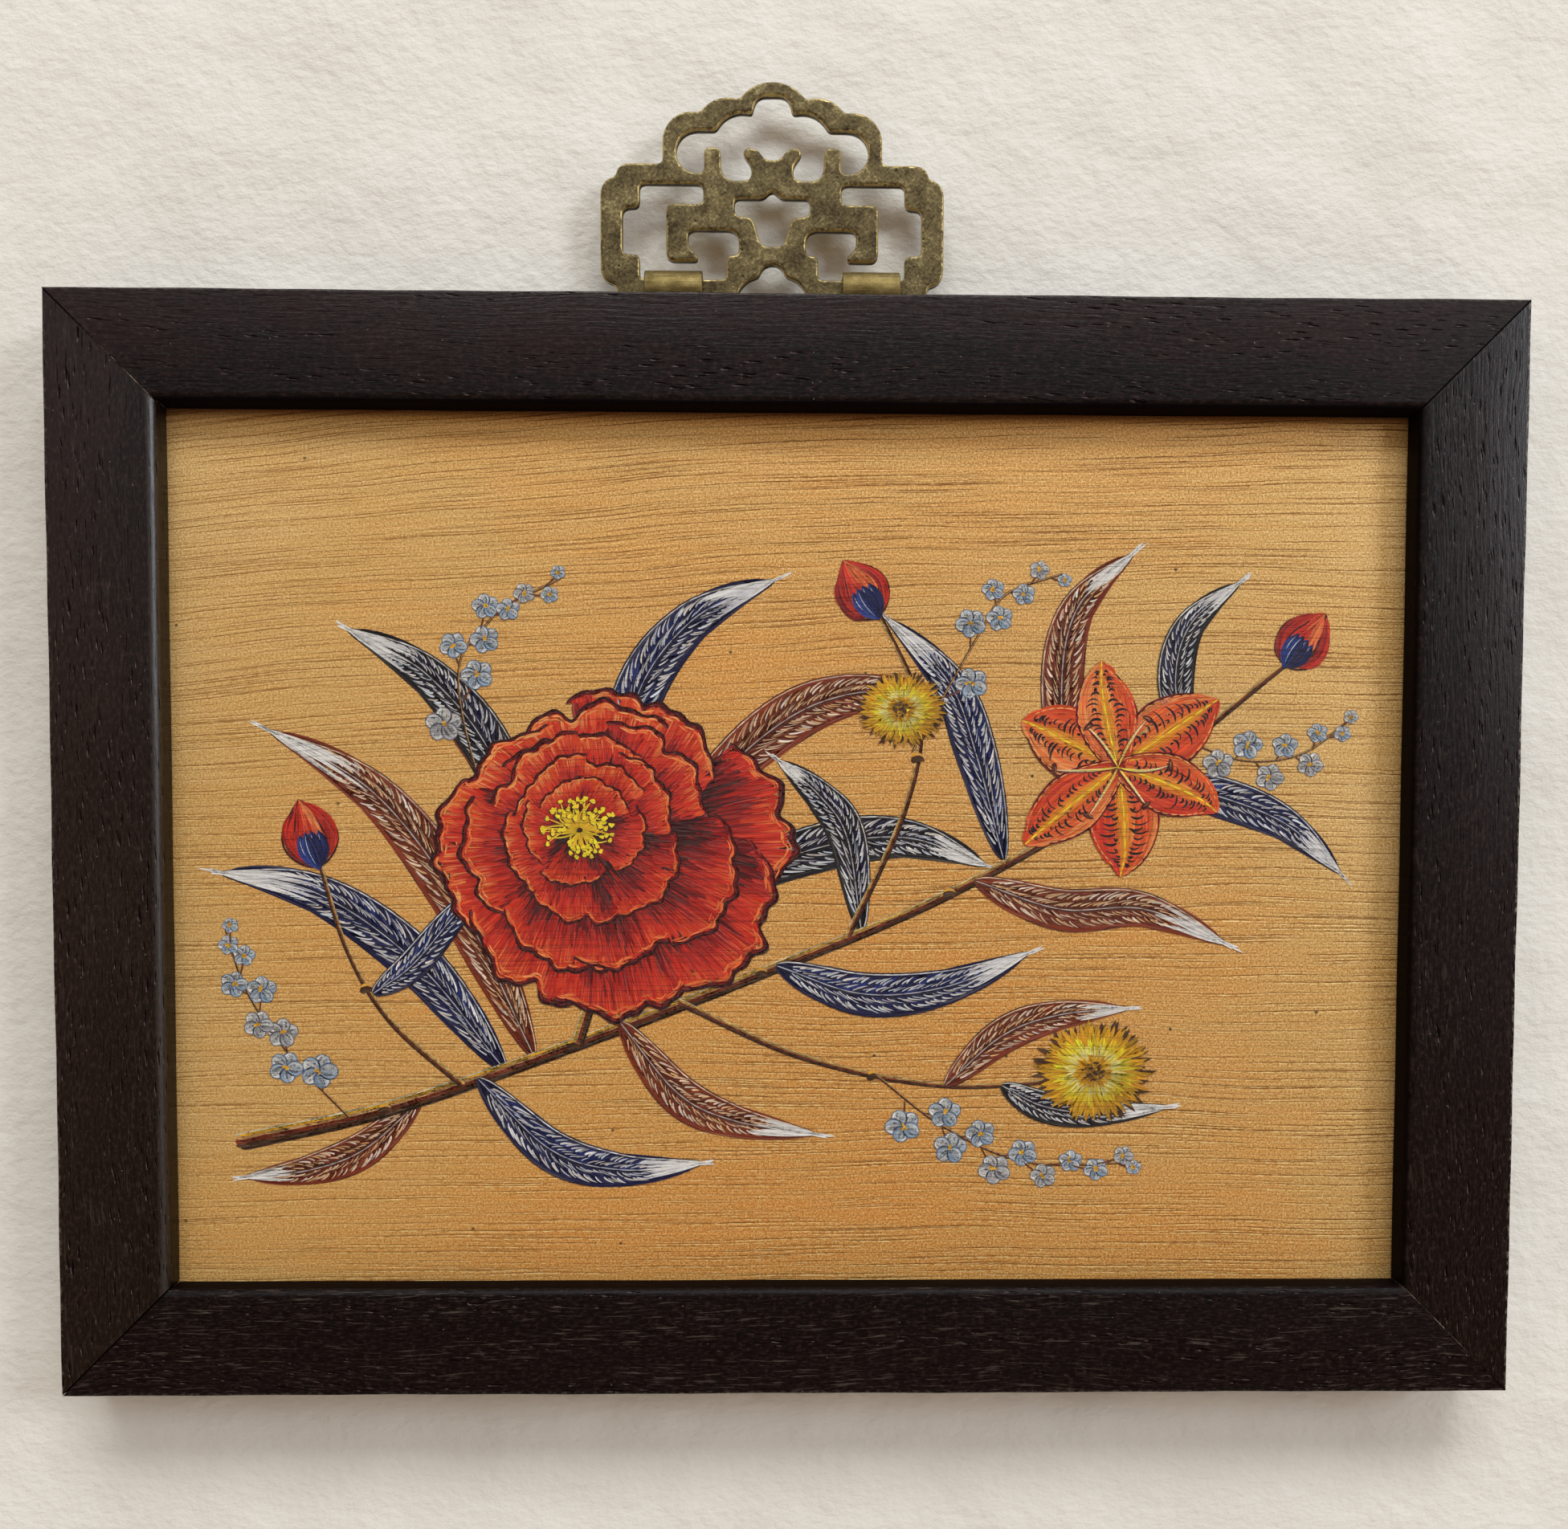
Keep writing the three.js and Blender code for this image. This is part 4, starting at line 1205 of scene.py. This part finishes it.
def barred_petal(paint, place, length, lit):
    """An orange petal of a lily, yellow down its middle, with short black bars across it."""
    dice = paint.dice
    edge = np.linspace(0.02, 0.9, 26)
    for side in (-1.04, 1.04):
        paint.dash(place, side, edge, ((0, 0.04), (0, 0.09)), 0.2, paint.shades(DEEP_RED, 26, 0.25))
    for count, width, spread in ((26, 0.62, 0.08), (80, 0.32, 0.2), (170, 0.14, 0.2)):
        across = dice.uniform(-0.97, 0.97, count)
        start = np.sort(dice.uniform(0, 0.78, count))
        reach = np.minimum(dice.uniform(0.15, 0.42, count), 1 - start)
        level = 0.35 + lit * 0.35 + across * 0.3 + dice.normal(0, spread, count)
        far = np.abs(across)
        hue = grade(
            SCARLET, (ORANGE, level * 1.6), (APRICOT, (level - 0.62) * 1.6),
            (OLD_YELLOW, 0.95 - far * 2.6 - start * 0.3),
            (CRIMSON, (far - 0.7) * 1.6 * (1 - lit) + (0.12 - start) * 3),
        )
        hue = paint.vary(hue, 0.1)
        paint.follow(place, across, start, reach, width, hue * 0.95, hue, 0.4)
    for side in (-1.0, 1.0):
        rows = np.linspace(0.1, 0.82, int(length * 1.15))
        count = len(rows)
        inner, outer = dice.uniform(0.12, 0.34, count), dice.uniform(0.5, 0.86, count)
        outer[1::2] -= 0.16
        rows = rows + dice.normal(0, 0.006, count)
        paint.lay(
            place(side * inner, rows), place(side * (inner + outer) / 2, rows + 0.02),
            place(side * outer, rows - 0.006), dice.uniform(0.1, 0.2, count),
            paint.shades(BLACK, count, 0.2), blunt=0.6,
        )
        steps = ((side * 0.01, 0.03), (side * -0.01, 0.06))
        paint.dash(place, side * 0.99, edge[:24:2], steps, 0.08, paint.shades(APRICOT, 12, 0.15))
    rib = np.linspace(0.04, 0.9, 8)
    paint.dash(place, 0, rib, ((0.02, 0.05), (0, 0.11)), 0.1, paint.shades(YELLOW, 8, 0.1))


def lily(paint, centre, size, turn):
    """A lily seen a little from one side: three petals behind, three in front, long stamens."""
    centre = np.array(centre, float)
    dice = paint.dice
    for i, step in enumerate((0, 120, 240, 60, 180, 300)):
        angle = turn + step + dice.uniform(-5, 5)
        out = heading(angle)
        reach = size * (0.8 + 0.2 * abs(math.cos(math.radians(angle - turn))))
        curl = turned_left(out) * dice.uniform(-0.22, 0.22) * size
        bends = ((0, 0), (0.4, -0.1), (0.78, 0.1), (1, 0.6))
        path = through(*[centre + out * reach * far + curl * aside for far, aside in bends])
        place = blade(path, size * (0.25 if i < 3 else 0.21), 0.5, size * 0.06, 0.5)
        barred_petal(paint, place, size, 0.5 + 0.5 * (out @ heading(120)))
    spot = rays(dice.uniform(0, 6.28, 40)) * dice.uniform(0.5, 1.6, 40)[:, None]
    dark = paint.shades(CRIMSON * 0.7, 40, 0.3)
    paint.lay(centre + spot * 0.2, centre + spot * 0.6, centre + spot, 0.22, dark)
    for step in np.arange(6) * 60 + 25:
        out = heading(turn + step) * [1, 0.85]
        tip = centre + out * size * dice.uniform(0.42, 0.58)
        bow = turned_left(out) * dice.uniform(-1.0, 1.0)
        middle = (centre + tip) / 2 + bow
        paint.lay(centre - 0.2, middle - 0.2, tip - 0.2, 0.2, DEEP_RED)
        paint.lay(centre, middle, tip, 0.17, YELLOW, CREAM)
        across = turned_left(out) * 0.95
        paint.lay(tip - across, tip + out * 0.1, tip + across, 0.4, MAROON, RUST * 0.6, 0.8)
        paint.lay(tip - across * 0.6, tip + 0.12, tip + across * 0.5, 0.12, RUST, TAN, 0.8)


def leaf(paint, points, half, body, second, fleck, tip, white):
    """A leaf: wide strokes along it, slanting strokes from the midrib to the edges, two rows
    of pale flecks on each side of the midrib, a thin light edge above and a pale tip."""
    dice = paint.dice
    path = through(*points)
    place = blade(path, half, 0.42, 0.25)
    length = np.linalg.norm(np.diff(path(np.linspace(0, 1, 40)), axis=0), axis=1).sum()
    level_up = np.sign((points[-1][0] - points[0][0]) or 1.0)
    edge = np.linspace(0.0, 0.93, 24)
    for side in (-1.0, 1.0):
        steps = ((side * 0.01, 0.035), (0, 0.08))
        paint.dash(place, side * 1.05, edge, steps, 0.16, paint.shades(body * 0.35, 24, 0.2))
    across = np.linspace(-0.86, 0.86, 11)
    for start in (0.0, 0.2, 0.42, 0.62):
        paint.follow(place, across, start, 0.36, half * 0.24, paint.shades(body, 11, 0.1))
    veins = int(length * 2.6)
    slant = 1.9 * half / length
    for side in (-1.0, 1.0):
        lit = 0.75 if side * level_up > 0 else 0.3
        start = np.sort(dice.uniform(0.02, 0.9, veins))
        reach = np.minimum(start + slant * dice.uniform(0.8, 1.2, veins), 1)
        far = side * dice.uniform(0.7, 1.0, veins)
        hue = tint(body, second, dice.random(veins) * lit)
        paint.lay(
            place(side * 0.03, start), place(far * 0.45, start * 0.55 + reach * 0.45), place(far, reach),
            dice.uniform(0.12, 0.26, veins), paint.vary(hue * 0.8, 0.15), paint.vary(hue, 0.15),
        )
        for inner, outer, width, share, many in (
            (0.52, 0.86, 0.14, 0.9, 0.95), (0.18, 0.4, 0.085, 0.5, 1.15),
        ):
            count = int(length * many)
            row = np.linspace(0.06, 0.97 - slant * 0.6, count) + dice.normal(0, 0.2 / length, count)
            first = side * (inner + dice.normal(0, 0.04, count))
            final = side * (outer + dice.normal(0, 0.05, count))
            hue = tint(fleck, WHITE, dice.random(count) * 0.7 * share)
            turn = slant * dice.uniform(0.25, 0.5, count)
            paint.lay(
                place(first, row), place((first + final) / 2, row + turn * 0.35), place(final, row + turn),
                width * dice.uniform(0.55, 1.15, count), paint.vary(hue, 0.15), blunt=0.75,
            )
        if lit > 0.5:
            steps = ((side * 0.02, 0.035), (0, 0.075))
            paint.dash(place, side, edge, steps, 0.085, paint.shades(tint(fleck, WHITE, 0.35), 24, 0.2))
    rib = np.linspace(0, 0.9, 12)
    steps = ((0, 0.05), (0, 0.1))
    paint.dash(place, -0.05, rib, steps, 0.15, body * 0.35)
    paint.dash(place, 0.02, rib, steps, 0.08, tint(second, WHITE, 0.45))
    across = dice.uniform(-0.85, 0.85, 26)
    start = 1 - white * dice.uniform(0.5, 1.15, 26)
    hue = tint(second, tip, dice.uniform(0.5, 1.0, 26))
    paint.follow(place, across, start, 1.0 - start, 0.16, hue, tip, 0.2)
    end = path(1.0)
    ahead = unit(end - path(0.93))
    wisp = dice.uniform(-0.4, 0.4, 5)[:, None] * turned_left(ahead)
    far = end + ahead * dice.uniform(0.6, 3.4, 5)[:, None] * white * 3 + wisp
    paint.lay(end - ahead * 2.2 + wisp * 0.4, end + wisp * 0.4, far, 0.16, tip, WHITE, 0.2)


def stem(paint, path, thick_first, thick_last, joints=()):
    """A woody stem: strokes along its path, dark below, yellow-brown above, with knots."""
    dice = paint.dice
    for share, hue, width in (
        (-0.8, BROWN * 0.4, 0.3), (-0.4, BROWN, 0.34), (0.0, RUST * 0.9, 0.34),
        (0.38, TAN * 0.8, 0.28), (0.62, OLD_YELLOW * 0.85, 0.2), (0.78, CREAM * 0.8, 0.1),
    ):
        start = np.linspace(0, 0.97, 80) + dice.normal(0, 0.004, 80)
        thick = thick_first + (thick_last - thick_first) * start
        up = np.sign(path(1.0)[0] - path(0.0)[0]) * share
        lines = [beside(path, np.clip(start + step, 0, 1), up * thick) for step in (0, 0.016, 0.036)]
        paint.lay(*lines, width * thick, paint.shades(hue, 80, 0.2), blunt=0.6)
    for joint in joints:
        foot = path(np.array([joint]))
        paint.lay(foot - [0.9, 0.6], foot - [0, 0.1], foot + [0.9, -0.5], 0.5, BROWN * 0.5, BROWN, 0.8)
        paint.lay(foot + [-0.8, 0.2], foot + [0, 0.5], foot + [0.8, 0.1], 0.22, OLD_YELLOW, TAN, 0.8)


def floret(paint, centre, size, colour):
    """A small five-petalled flower with a yellow eye."""
    turn = paint.dice.uniform(0, 72)
    for i in range(5):
        out = heading(turn + 72 * i) * [1, 0.9]
        place = blade(through(centre, centre + out * size * 0.5, centre + out * size), size * 0.4, 0.6)
        across = np.linspace(-0.75, 0.75, 5)
        edge = NAVY * 1.4 + colour * 0.3
        paint.follow(place, across, 0.02, 0.99, size * 0.17, edge, colour * 0.5, 0.4)
        lit = 0.5 + 0.5 * (out @ LIT_FROM)
        hue = paint.vary(tint(colour, WHITE, np.linspace(0, 1, 5) * 0.6 + lit * 0.5), 0.06)
        paint.follow(place, across * 0.86, 0.08, 0.86, size * 0.12, hue * 0.7, hue, 0.3)
    dots = paint.dice.normal(0, size * 0.09, (4, 2)) + centre
    paint.lay(dots - [0.2, 0], dots, dots + [0.2, 0], 0.2, paint.shades(OLD_YELLOW, 4, 0.15), blunt=0.9)


def floret_spray(paint, points, count, size):
    """A thin stalk that carries florets on short side stalks, smaller and closer to its tip."""
    dice = paint.dice
    path = through(*points)
    start = np.linspace(0, 0.97, 40)
    stalk = [path(start + step) for step in (0, 0.02, 0.045)]
    paint.lay(*stalk, 0.17, paint.shades(BROWN * 0.7, 40, 0.2))
    paint.lay(*[line + 0.08 for line in stalk], 0.07, TAN * 0.9)
    for i, place in enumerate(1 - np.linspace(0.8, 0.0, count) ** 1.1):
        side = (-1, 1)[i % 2] * (1 - place * 0.75) * dice.uniform(2.0, 3.8)
        foot = path(place - 0.07)
        head = beside(path, place, side) + dice.normal(0, 0.3, 2)
        paint.lay(foot, (foot + head) / 2 + [0, -0.2], head, 0.12, BROWN, RUST)
        grown = size * (1 - 0.55 * place ** 2) * dice.uniform(0.85, 1.1)
        floret(paint, head, grown, GREY if dice.random() < 0.3 else PALE_BLUE)


def rayed_flower(paint, centre, size):
    """A yellow flower of many narrow rays round a brown eye."""
    dice = paint.dice
    for count, reach, hue, width in (
        (64, 1.03, BROWN, 0.42), (80, 1.0, OLD_YELLOW * 0.8, 0.36), (90, 0.9, OLD_YELLOW, 0.26),
        (90, 0.74, YELLOW, 0.2), (70, 0.55, CREAM * [1, 0.97, 0.5], 0.13), (60, 0.36, OLD_YELLOW * 0.9, 0.2),
    ):
        out = rays(np.linspace(0, 2 * math.pi, count, endpoint=False) + dice.normal(0, 0.05, count), 0.86)
        far = size * reach * dice.uniform(0.84, 1.05, count)[:, None]
        bow = turned_left(out) * dice.normal(0, 0.25, count)[:, None]
        lit = 0.85 + 0.15 * (out @ heading(120))
        hue = paint.vary(hue * lit[:, None], 0.14)
        middle = centre + out * far * 0.55 + bow
        paint.lay(centre + out * 0.3, middle, centre + out * far, width * size / 8, hue * 0.6, hue, 0.2)
    spot = rays(dice.uniform(0, 6.28, 70), 0.86) * (size * 0.19 * np.sqrt(dice.random(70)))[:, None]
    dark = paint.vary(tint(BROWN * 0.6, OLD_YELLOW, dice.random(70) ** 4), 0.3)
    paint.lay(centre + spot - [0.22, 0.1], centre + spot, centre + spot + [0.22, 0.1], 0.17, dark, blunt=0.9)


def bud(paint, base, angle, size):
    """A closed bud: overlapped red petals in a dark cup."""
    dice = paint.dice
    for turn, half, shade in ((-13, 0.17, 0.0), (13, 0.17, 0.25), (0, 0.2, 0.55)):
        out = heading(angle + turn * 0.6)
        bow = turned_left(out) * size * 0.012 * turn
        path = through(base, base + out * size * 0.5 + bow, base + heading(angle) * size)
        place = blade(path, size * half, 0.42, 0.3, 0.3)
        for side in (-1.05, 1.05):
            paint.dash(place, side, np.linspace(0, 0.9, 14), ((0, 0.05), (0, 0.11)), 0.13, MAROON)
        for count, width in ((14, 0.5), (60, 0.18)):
            across = dice.uniform(-0.95, 0.95, count)
            start = dice.uniform(0, 0.65, count)
            level = shade + start * 0.6 - across * 0.3 + dice.normal(0, 0.14, count)
            hue = grade(DEEP_RED, (SCARLET, level * 1.8), (APRICOT, (level - 0.75) * 1.6))
            reach = np.minimum(0.4, 1 - start)
            paint.follow(place, across, start, reach, width, paint.vary(hue, 0.1), blunt=0.4)
    for turn in (-30, 28, -8, 10):
        out = heading(angle + turn)
        tip = base + heading(angle + turn * 0.55) * size * 0.52
        place = blade(through(base - out * 0.6, base + out * size * 0.25, tip), size * 0.1, 0.4, 0.2)
        across = np.linspace(-0.85, 0.85, 7)
        hue = tint(NAVY, BLUE, np.linspace(0, 1, 7))
        paint.follow(place, across, 0, 1.0, 0.17, paint.vary(hue, 0.15), paint.vary(hue, 0.15))
        paint.follow(place, 0.3, 0.1, 0.8, 0.06, PALE_BLUE, WHITE, 0.3)


# The design's middle lines, in millimetres from the panel's middle. A leaf has its middle
# line, half width, colours and pale tip's share; a stem its line, half widths and knots.
TRUNK = ((-78, -41), (-56, -36), (-30, -27), (-4, -17), (22, -6), (46, 8), (70, 27))
NAVY_LEAF = (NAVY, BLUE, GREY, WHITE)
RUST_LEAF = (RUST, BROWN, TAN, WHITE)
INKY_LEAF = (BLACK * 1.5, NAVY * 2, GREY, WHITE)
LEAVES_BEHIND = (
    (((-40, -31), (-52, -16), (-66, -6), (-80, -3)), 3.0, NAVY_LEAF, 0.3),
    (((-36, -29), (-46, -8), (-58, 8), (-73, 17)), 3.1, RUST_LEAF, 0.28),
    (((-30, -20), (-40, 10), (-50, 24), (-62, 31)), 3.0, INKY_LEAF, 0.24),
    (((-24, 0), (-22, 20), (-14, 32), (-2, 38)), 3.1, NAVY_LEAF, 0.24),
    (((-20, 0), (-4, 16), (8, 22), (22, 22)), 3.2, RUST_LEAF, 0.24),
    (((-18, -8), (2, 0), (16, 2), (28, -2)), 3.0, INKY_LEAF, 0.22),
    (((-52, -35), (-60, -42), (-68, -45), (-77, -46)), 2.2, RUST_LEAF, 0.24),
    (((10, -11), (8, 2), (4, 8), (-2, 13)), 2.3, INKY_LEAF, 0.2),
    (((30, -1), (26, 14), (22, 24), (13, 33)), 2.6, NAVY_LEAF, 0.24),
    (((40, 6), (38, 22), (40, 34), (48, 42)), 2.6, RUST_LEAF, 0.24),
    (((50, 10), (60, 8), (70, 4), (78, -3)), 2.5, NAVY_LEAF, 0.24),
)
LEAVES_IN_FRONT = (
    (((-44, -32), (-34, -42), (-24, -45), (-12, -44)), 2.6, NAVY_LEAF, 0.24),
    (((-24, -24), (-16, -34), (-8, -38), (4, -40)), 2.5, RUST_LEAF, 0.24),
    (((-2, -16), (10, -20), (22, -19), (34, -14)), 2.7, NAVY_LEAF, 0.24),
    (((22, -33), (30, -26), (38, -23), (48, -22)), 2.2, RUST_LEAF, 0.22),
    (((30, -33), (36, -36), (44, -37), (54, -36)), 1.9, INKY_LEAF, 0.22),
    (((26, -4), (38, -8), (50, -8), (62, -13)), 2.6, RUST_LEAF, 0.26),
    (((-58.5, -20), (-53, -16), (-47, -9), (-42, -4)), 1.8, NAVY_LEAF, 0.22),
    (((56, 15), (54, 24), (56, 32), (63, 38)), 2.2, INKY_LEAF, 0.22),
)
STEMS = (
    (TRUNK, 1.3, 0.42, (0.16, 0.33, 0.5, 0.67, 0.84)),
    (((-16, -21), (2, -29), (22, -33), (42, -32)), 0.55, 0.3, (0.5,)),
    (((-46, -33), (-56, -24), (-62, -14), (-66, -1)), 0.5, 0.3, (0.5,)),
    (((8, -12), (16, 6), (18, 20), (12, 34)), 0.5, 0.28, (0.5,)),
    (((-30, -27), (-28, -20), (-27, -12), (-26, -4)), 0.9, 0.7, ()),
)
SPRAYS = (
    (((-62, -37.6), (-70, -29), (-76, -20), (-79, -11)), 9, 2.9),
    (((12, -31.4), (22, -39), (34, -44), (50, -44)), 11, 2.9),
    (((56, 15.5), (64, 13), (72, 14), (79, 19)), 8, 2.6),
    (((-34, -20), (-46, 20), (-42, 32), (-32, 38)), 10, 2.7),
    (((17, 14), (26, 30), (30, 36), (38, 39)), 7, 2.4),
)
BUDS = (((-66, -2), 106, 9.5), ((12, 33), 122, 9.0), ((69.5, 26.5), 52, 9.0))
BLOOM_MIDDLE = (-27.0, 1.0)
BLOOM_SIZE = 22.5
BLOOM_TURN = 12
STROKES_THICK = 0.034


def design(leaves_behind, stems, leaves_in_front, ring_out, ring_in, heart, heads):
    """The design: a stem that rises from the lower left, slender leaves on both sides of it, a
    wide red bloom, a barred lily, two rayed yellow flowers, buds and sprays of florets."""
    for layer, leaves in ((leaves_behind, LEAVES_BEHIND), (leaves_in_front, LEAVES_IN_FRONT)):
        for points, half, hues, white in leaves:
            leaf(layer, points, half, *hues, white)
    for points, *thick_and_knots in STEMS:
        stem(stems, through(*points), *thick_and_knots)
    for spray in SPRAYS:
        floret_spray(stems, *spray)
    for base, angle, size in BUDS:
        bud(stems, np.array(base, float), angle, size)
    for ring, layer in enumerate((ring_out, ring_in, heart, heart)):
        bloom_ring(layer, BLOOM_MIDDLE, BLOOM_SIZE, BLOOM_TURN, ring)
    bloom_heart(heart, BLOOM_MIDDLE - LEAN * 3.2, BLOOM_SIZE)
    lily(heads, (46, 12), 17.0, 38)
    rayed_flower(heads, np.array([43.0, -31.0]), 8.4)
    rayed_flower(heads, np.array([15.5, 20.0]), 6.2)


def painted_spray():
    """Paints the design from the back to the front, in pieces that lie at their own heights."""
    material = brush_paint()
    heights = {
        "leaves_behind": 0.03, "stems_and_florets": 0.08, "leaves_in_front": 0.12,
        "bloom_outer_petals": 0.155, "bloom_inner_petals": 0.19, "bloom_heart": 0.225,
        "flower_heads": 0.155,
    }
    layers = [Paint(seed) for seed in range(5, 12)]
    design(*layers)
    for layer, (name, height) in zip(layers, heights.items()):
        layer.piece("painted_" + name, material, height, height + STROKES_THICK)


# Wall, floor, light and camera

FLOOR_Z = -1450.0
SKY = ((0.3, (0.24, 0.13, 0.05)), (0.5, (0.34, 0.21, 0.12)), (0.7, (0.54, 0.55, 0.56)))
SENSOR_WIDTH = 36.0
FOCAL_PIXELS = 2000.0
# From the middle of the frame's front, in millimetres, and turned by degrees about x, y and z
CAMERA_PLACE = (-5.10, -221.02, 0.78)
CAMERA_TURN = (87.33, -0.14, -1.059)


def stage_plane(name, corners, material):
    """A flat oblong of the stage, by its corners in millimetres."""
    mesh = make_mesh(name, np.array(corners, float), [[0, 1, 2, 3]])
    mesh.materials.append(material)
    plane = link(name, mesh)
    return plane


def plaster():
    """Pale plaster with soft lumps. It is clear when seen from behind."""
    wall = Finish("pale_plaster")
    x, _, z = wall.axes()
    lumps = wall.noise(x, z, detail=4.0, scale=0.055)
    grain = wall.noise(x * 0.55, z * 0.75, rough=0.6)
    colour = wall.mix(lumps, srgb(226, 223, 214), srgb(239, 237, 230))
    wall.finish(colour, grain * 0.1 + 0.75, lumps * 1.2 + grain * 0.2)
    wall.give_way(wall.node("NewGeometry", output="Backfacing"), "BsdfTransparent")
    return wall.material


def floor_paint():
    """Pale paint with soft patches."""
    floor = Finish("pale_floor")
    soft = floor.noise(*floor.axes(), scale=0.02)
    colour = floor.mix(soft, srgb(214, 211, 205), srgb(226, 223, 218))
    return floor.finish(colour, soft * 0.1 + 0.7)


def upright_oblong(wide, low, high, y):
    """The corners of an upright oblong."""
    return [[-wide, y, low], [wide, y, low], [wide, y, high], [-wide, y, high]]


def level_oblong(wide, front, behind, z):
    """The corners of a level oblong."""
    return [[-wide, front, z], [wide, front, z], [wide, behind, z], [-wide, behind, z]]


def stage():
    """A wall that the pads rest on, and a floor far below."""
    wall_y = box_mm("wall_pad_left")[1][1] + 0.25
    wall = stage_plane("plaster_wall", upright_oblong(3500.0, FLOOR_Z, 1500.0, wall_y), plaster())
    wall.visible_shadow = False
    stage_plane("floor", level_oblong(1200.0, -1300.0, 400.0, FLOOR_Z), floor_paint())


def lamp(name, place, size, watts, colour):
    """An oblong area lamp that faces the frame, with its place and size in millimetres."""
    data = bpy.data.lights.new(name, "AREA")
    data.shape = "RECTANGLE"
    data.size = size[0] * MM
    data.size_y = size[1] * MM
    data.energy = watts
    data.color = colour
    new = link(name, data)
    new.location = Vector(place) * MM
    new.rotation_mode = "QUATERNION"
    towards = Vector((MIDDLE_X, 0.0, MIDDLE_Z)) - Vector(place)
    new.rotation_quaternion = towards.to_track_quat("-Z", "Y")


def lights():
    """A wide ceiling lamp in front, a cooler window to the right, a soft lamp behind, and
    pale light from all round that is brighter from above."""
    lamp("ceiling_light", (100.0, -1700.0, 1935.0), (1800.0, 800.0), 40.0, (0.975, 1.0, 1.0))
    lamp("window_light", (1800.0, -1700.0, 600.0), (700.0, 700.0), 20.0, (0.88, 0.93, 1.0))
    lamp("back_light", (-500.0, 1300.0, 100.0), (900.0, 900.0), 14.0, (1.0, 0.98, 0.95))
    world = bpy.data.worlds.new("studio")
    world.use_nodes = True
    tree = world.node_tree
    place, split, height, ramp = (
        tree.nodes.new("ShaderNode" + kind) for kind in ("TexCoord", "SeparateXYZ", "MapRange", "ValToRGB")
    )
    height.inputs["From Min"].default_value = -1.0
    ramp.color_ramp.elements.new(0.5)
    for stop, (position, colour) in zip(ramp.color_ramp.elements, SKY):
        stop.position = position
        stop.color = (*colour, 1)
    for output, socket in (
        (place.outputs["Generated"], split.inputs[0]),
        (split.outputs["Z"], height.inputs["Value"]),
        (height.outputs[0], ramp.inputs[0]),
        (ramp.outputs[0], tree.nodes["Background"].inputs["Color"]),
    ):
        tree.links.new(output, socket)
    bpy.context.scene.world = world


def camera():
    """The camera as the photograph was taken: about level with the frame's middle."""
    data = bpy.data.cameras.new("camera")
    data.sensor_width = SENSOR_WIDTH
    data.lens = SENSOR_WIDTH * FOCAL_PIXELS / IMAGE[0]
    data.shift_y = 0.1
    data.clip_start = 0.01
    data.clip_end = 20.0
    view = link("camera", data)
    view.location = (Vector((MIDDLE_X, FRONT_Y, MIDDLE_Z)) + Vector(CAMERA_PLACE)) * MM
    view.rotation_euler = Euler([math.radians(angle) for angle in CAMERA_TURN])
    bpy.context.scene.camera = view


# The whole

for number, side in enumerate(RAILS, 1):
    rail(side, number)
filler = pale_filler()
mitre_filler("filler_top_left", -1, 1, filler)
mitre_filler("filler_bottom_right", 1, -1, filler)

nodes["gold_panel"].data.materials.clear()
nodes["gold_panel"].data.materials.append(gold_paint())
soften("backing_board", "fibre_back", hardboard(), 0.3)
painted_spray()

hanger_plate(antique_brass())
satin = satin_brass()
zinc = zinc_steel()
rubber = pad_rubber()
for side in ("left", "right", "top", "bottom"):
    if side in ("left", "right"):
        strap("rolled_strap_" + side, "strap_" + side, satin)
        soften("strap_screw_" + side, "screw_" + side, satin, 0.08)
        soften("wall_pad_" + side, "bumper_" + side, rubber, 0.25)
    for end in ("a", "b"):
        soften(f"tab_{side}_{end}", f"clip_{side}_{end}", zinc, 0.08)

stage()
lights()
camera()

bpy.context.scene.view_settings.view_transform = "Standard"
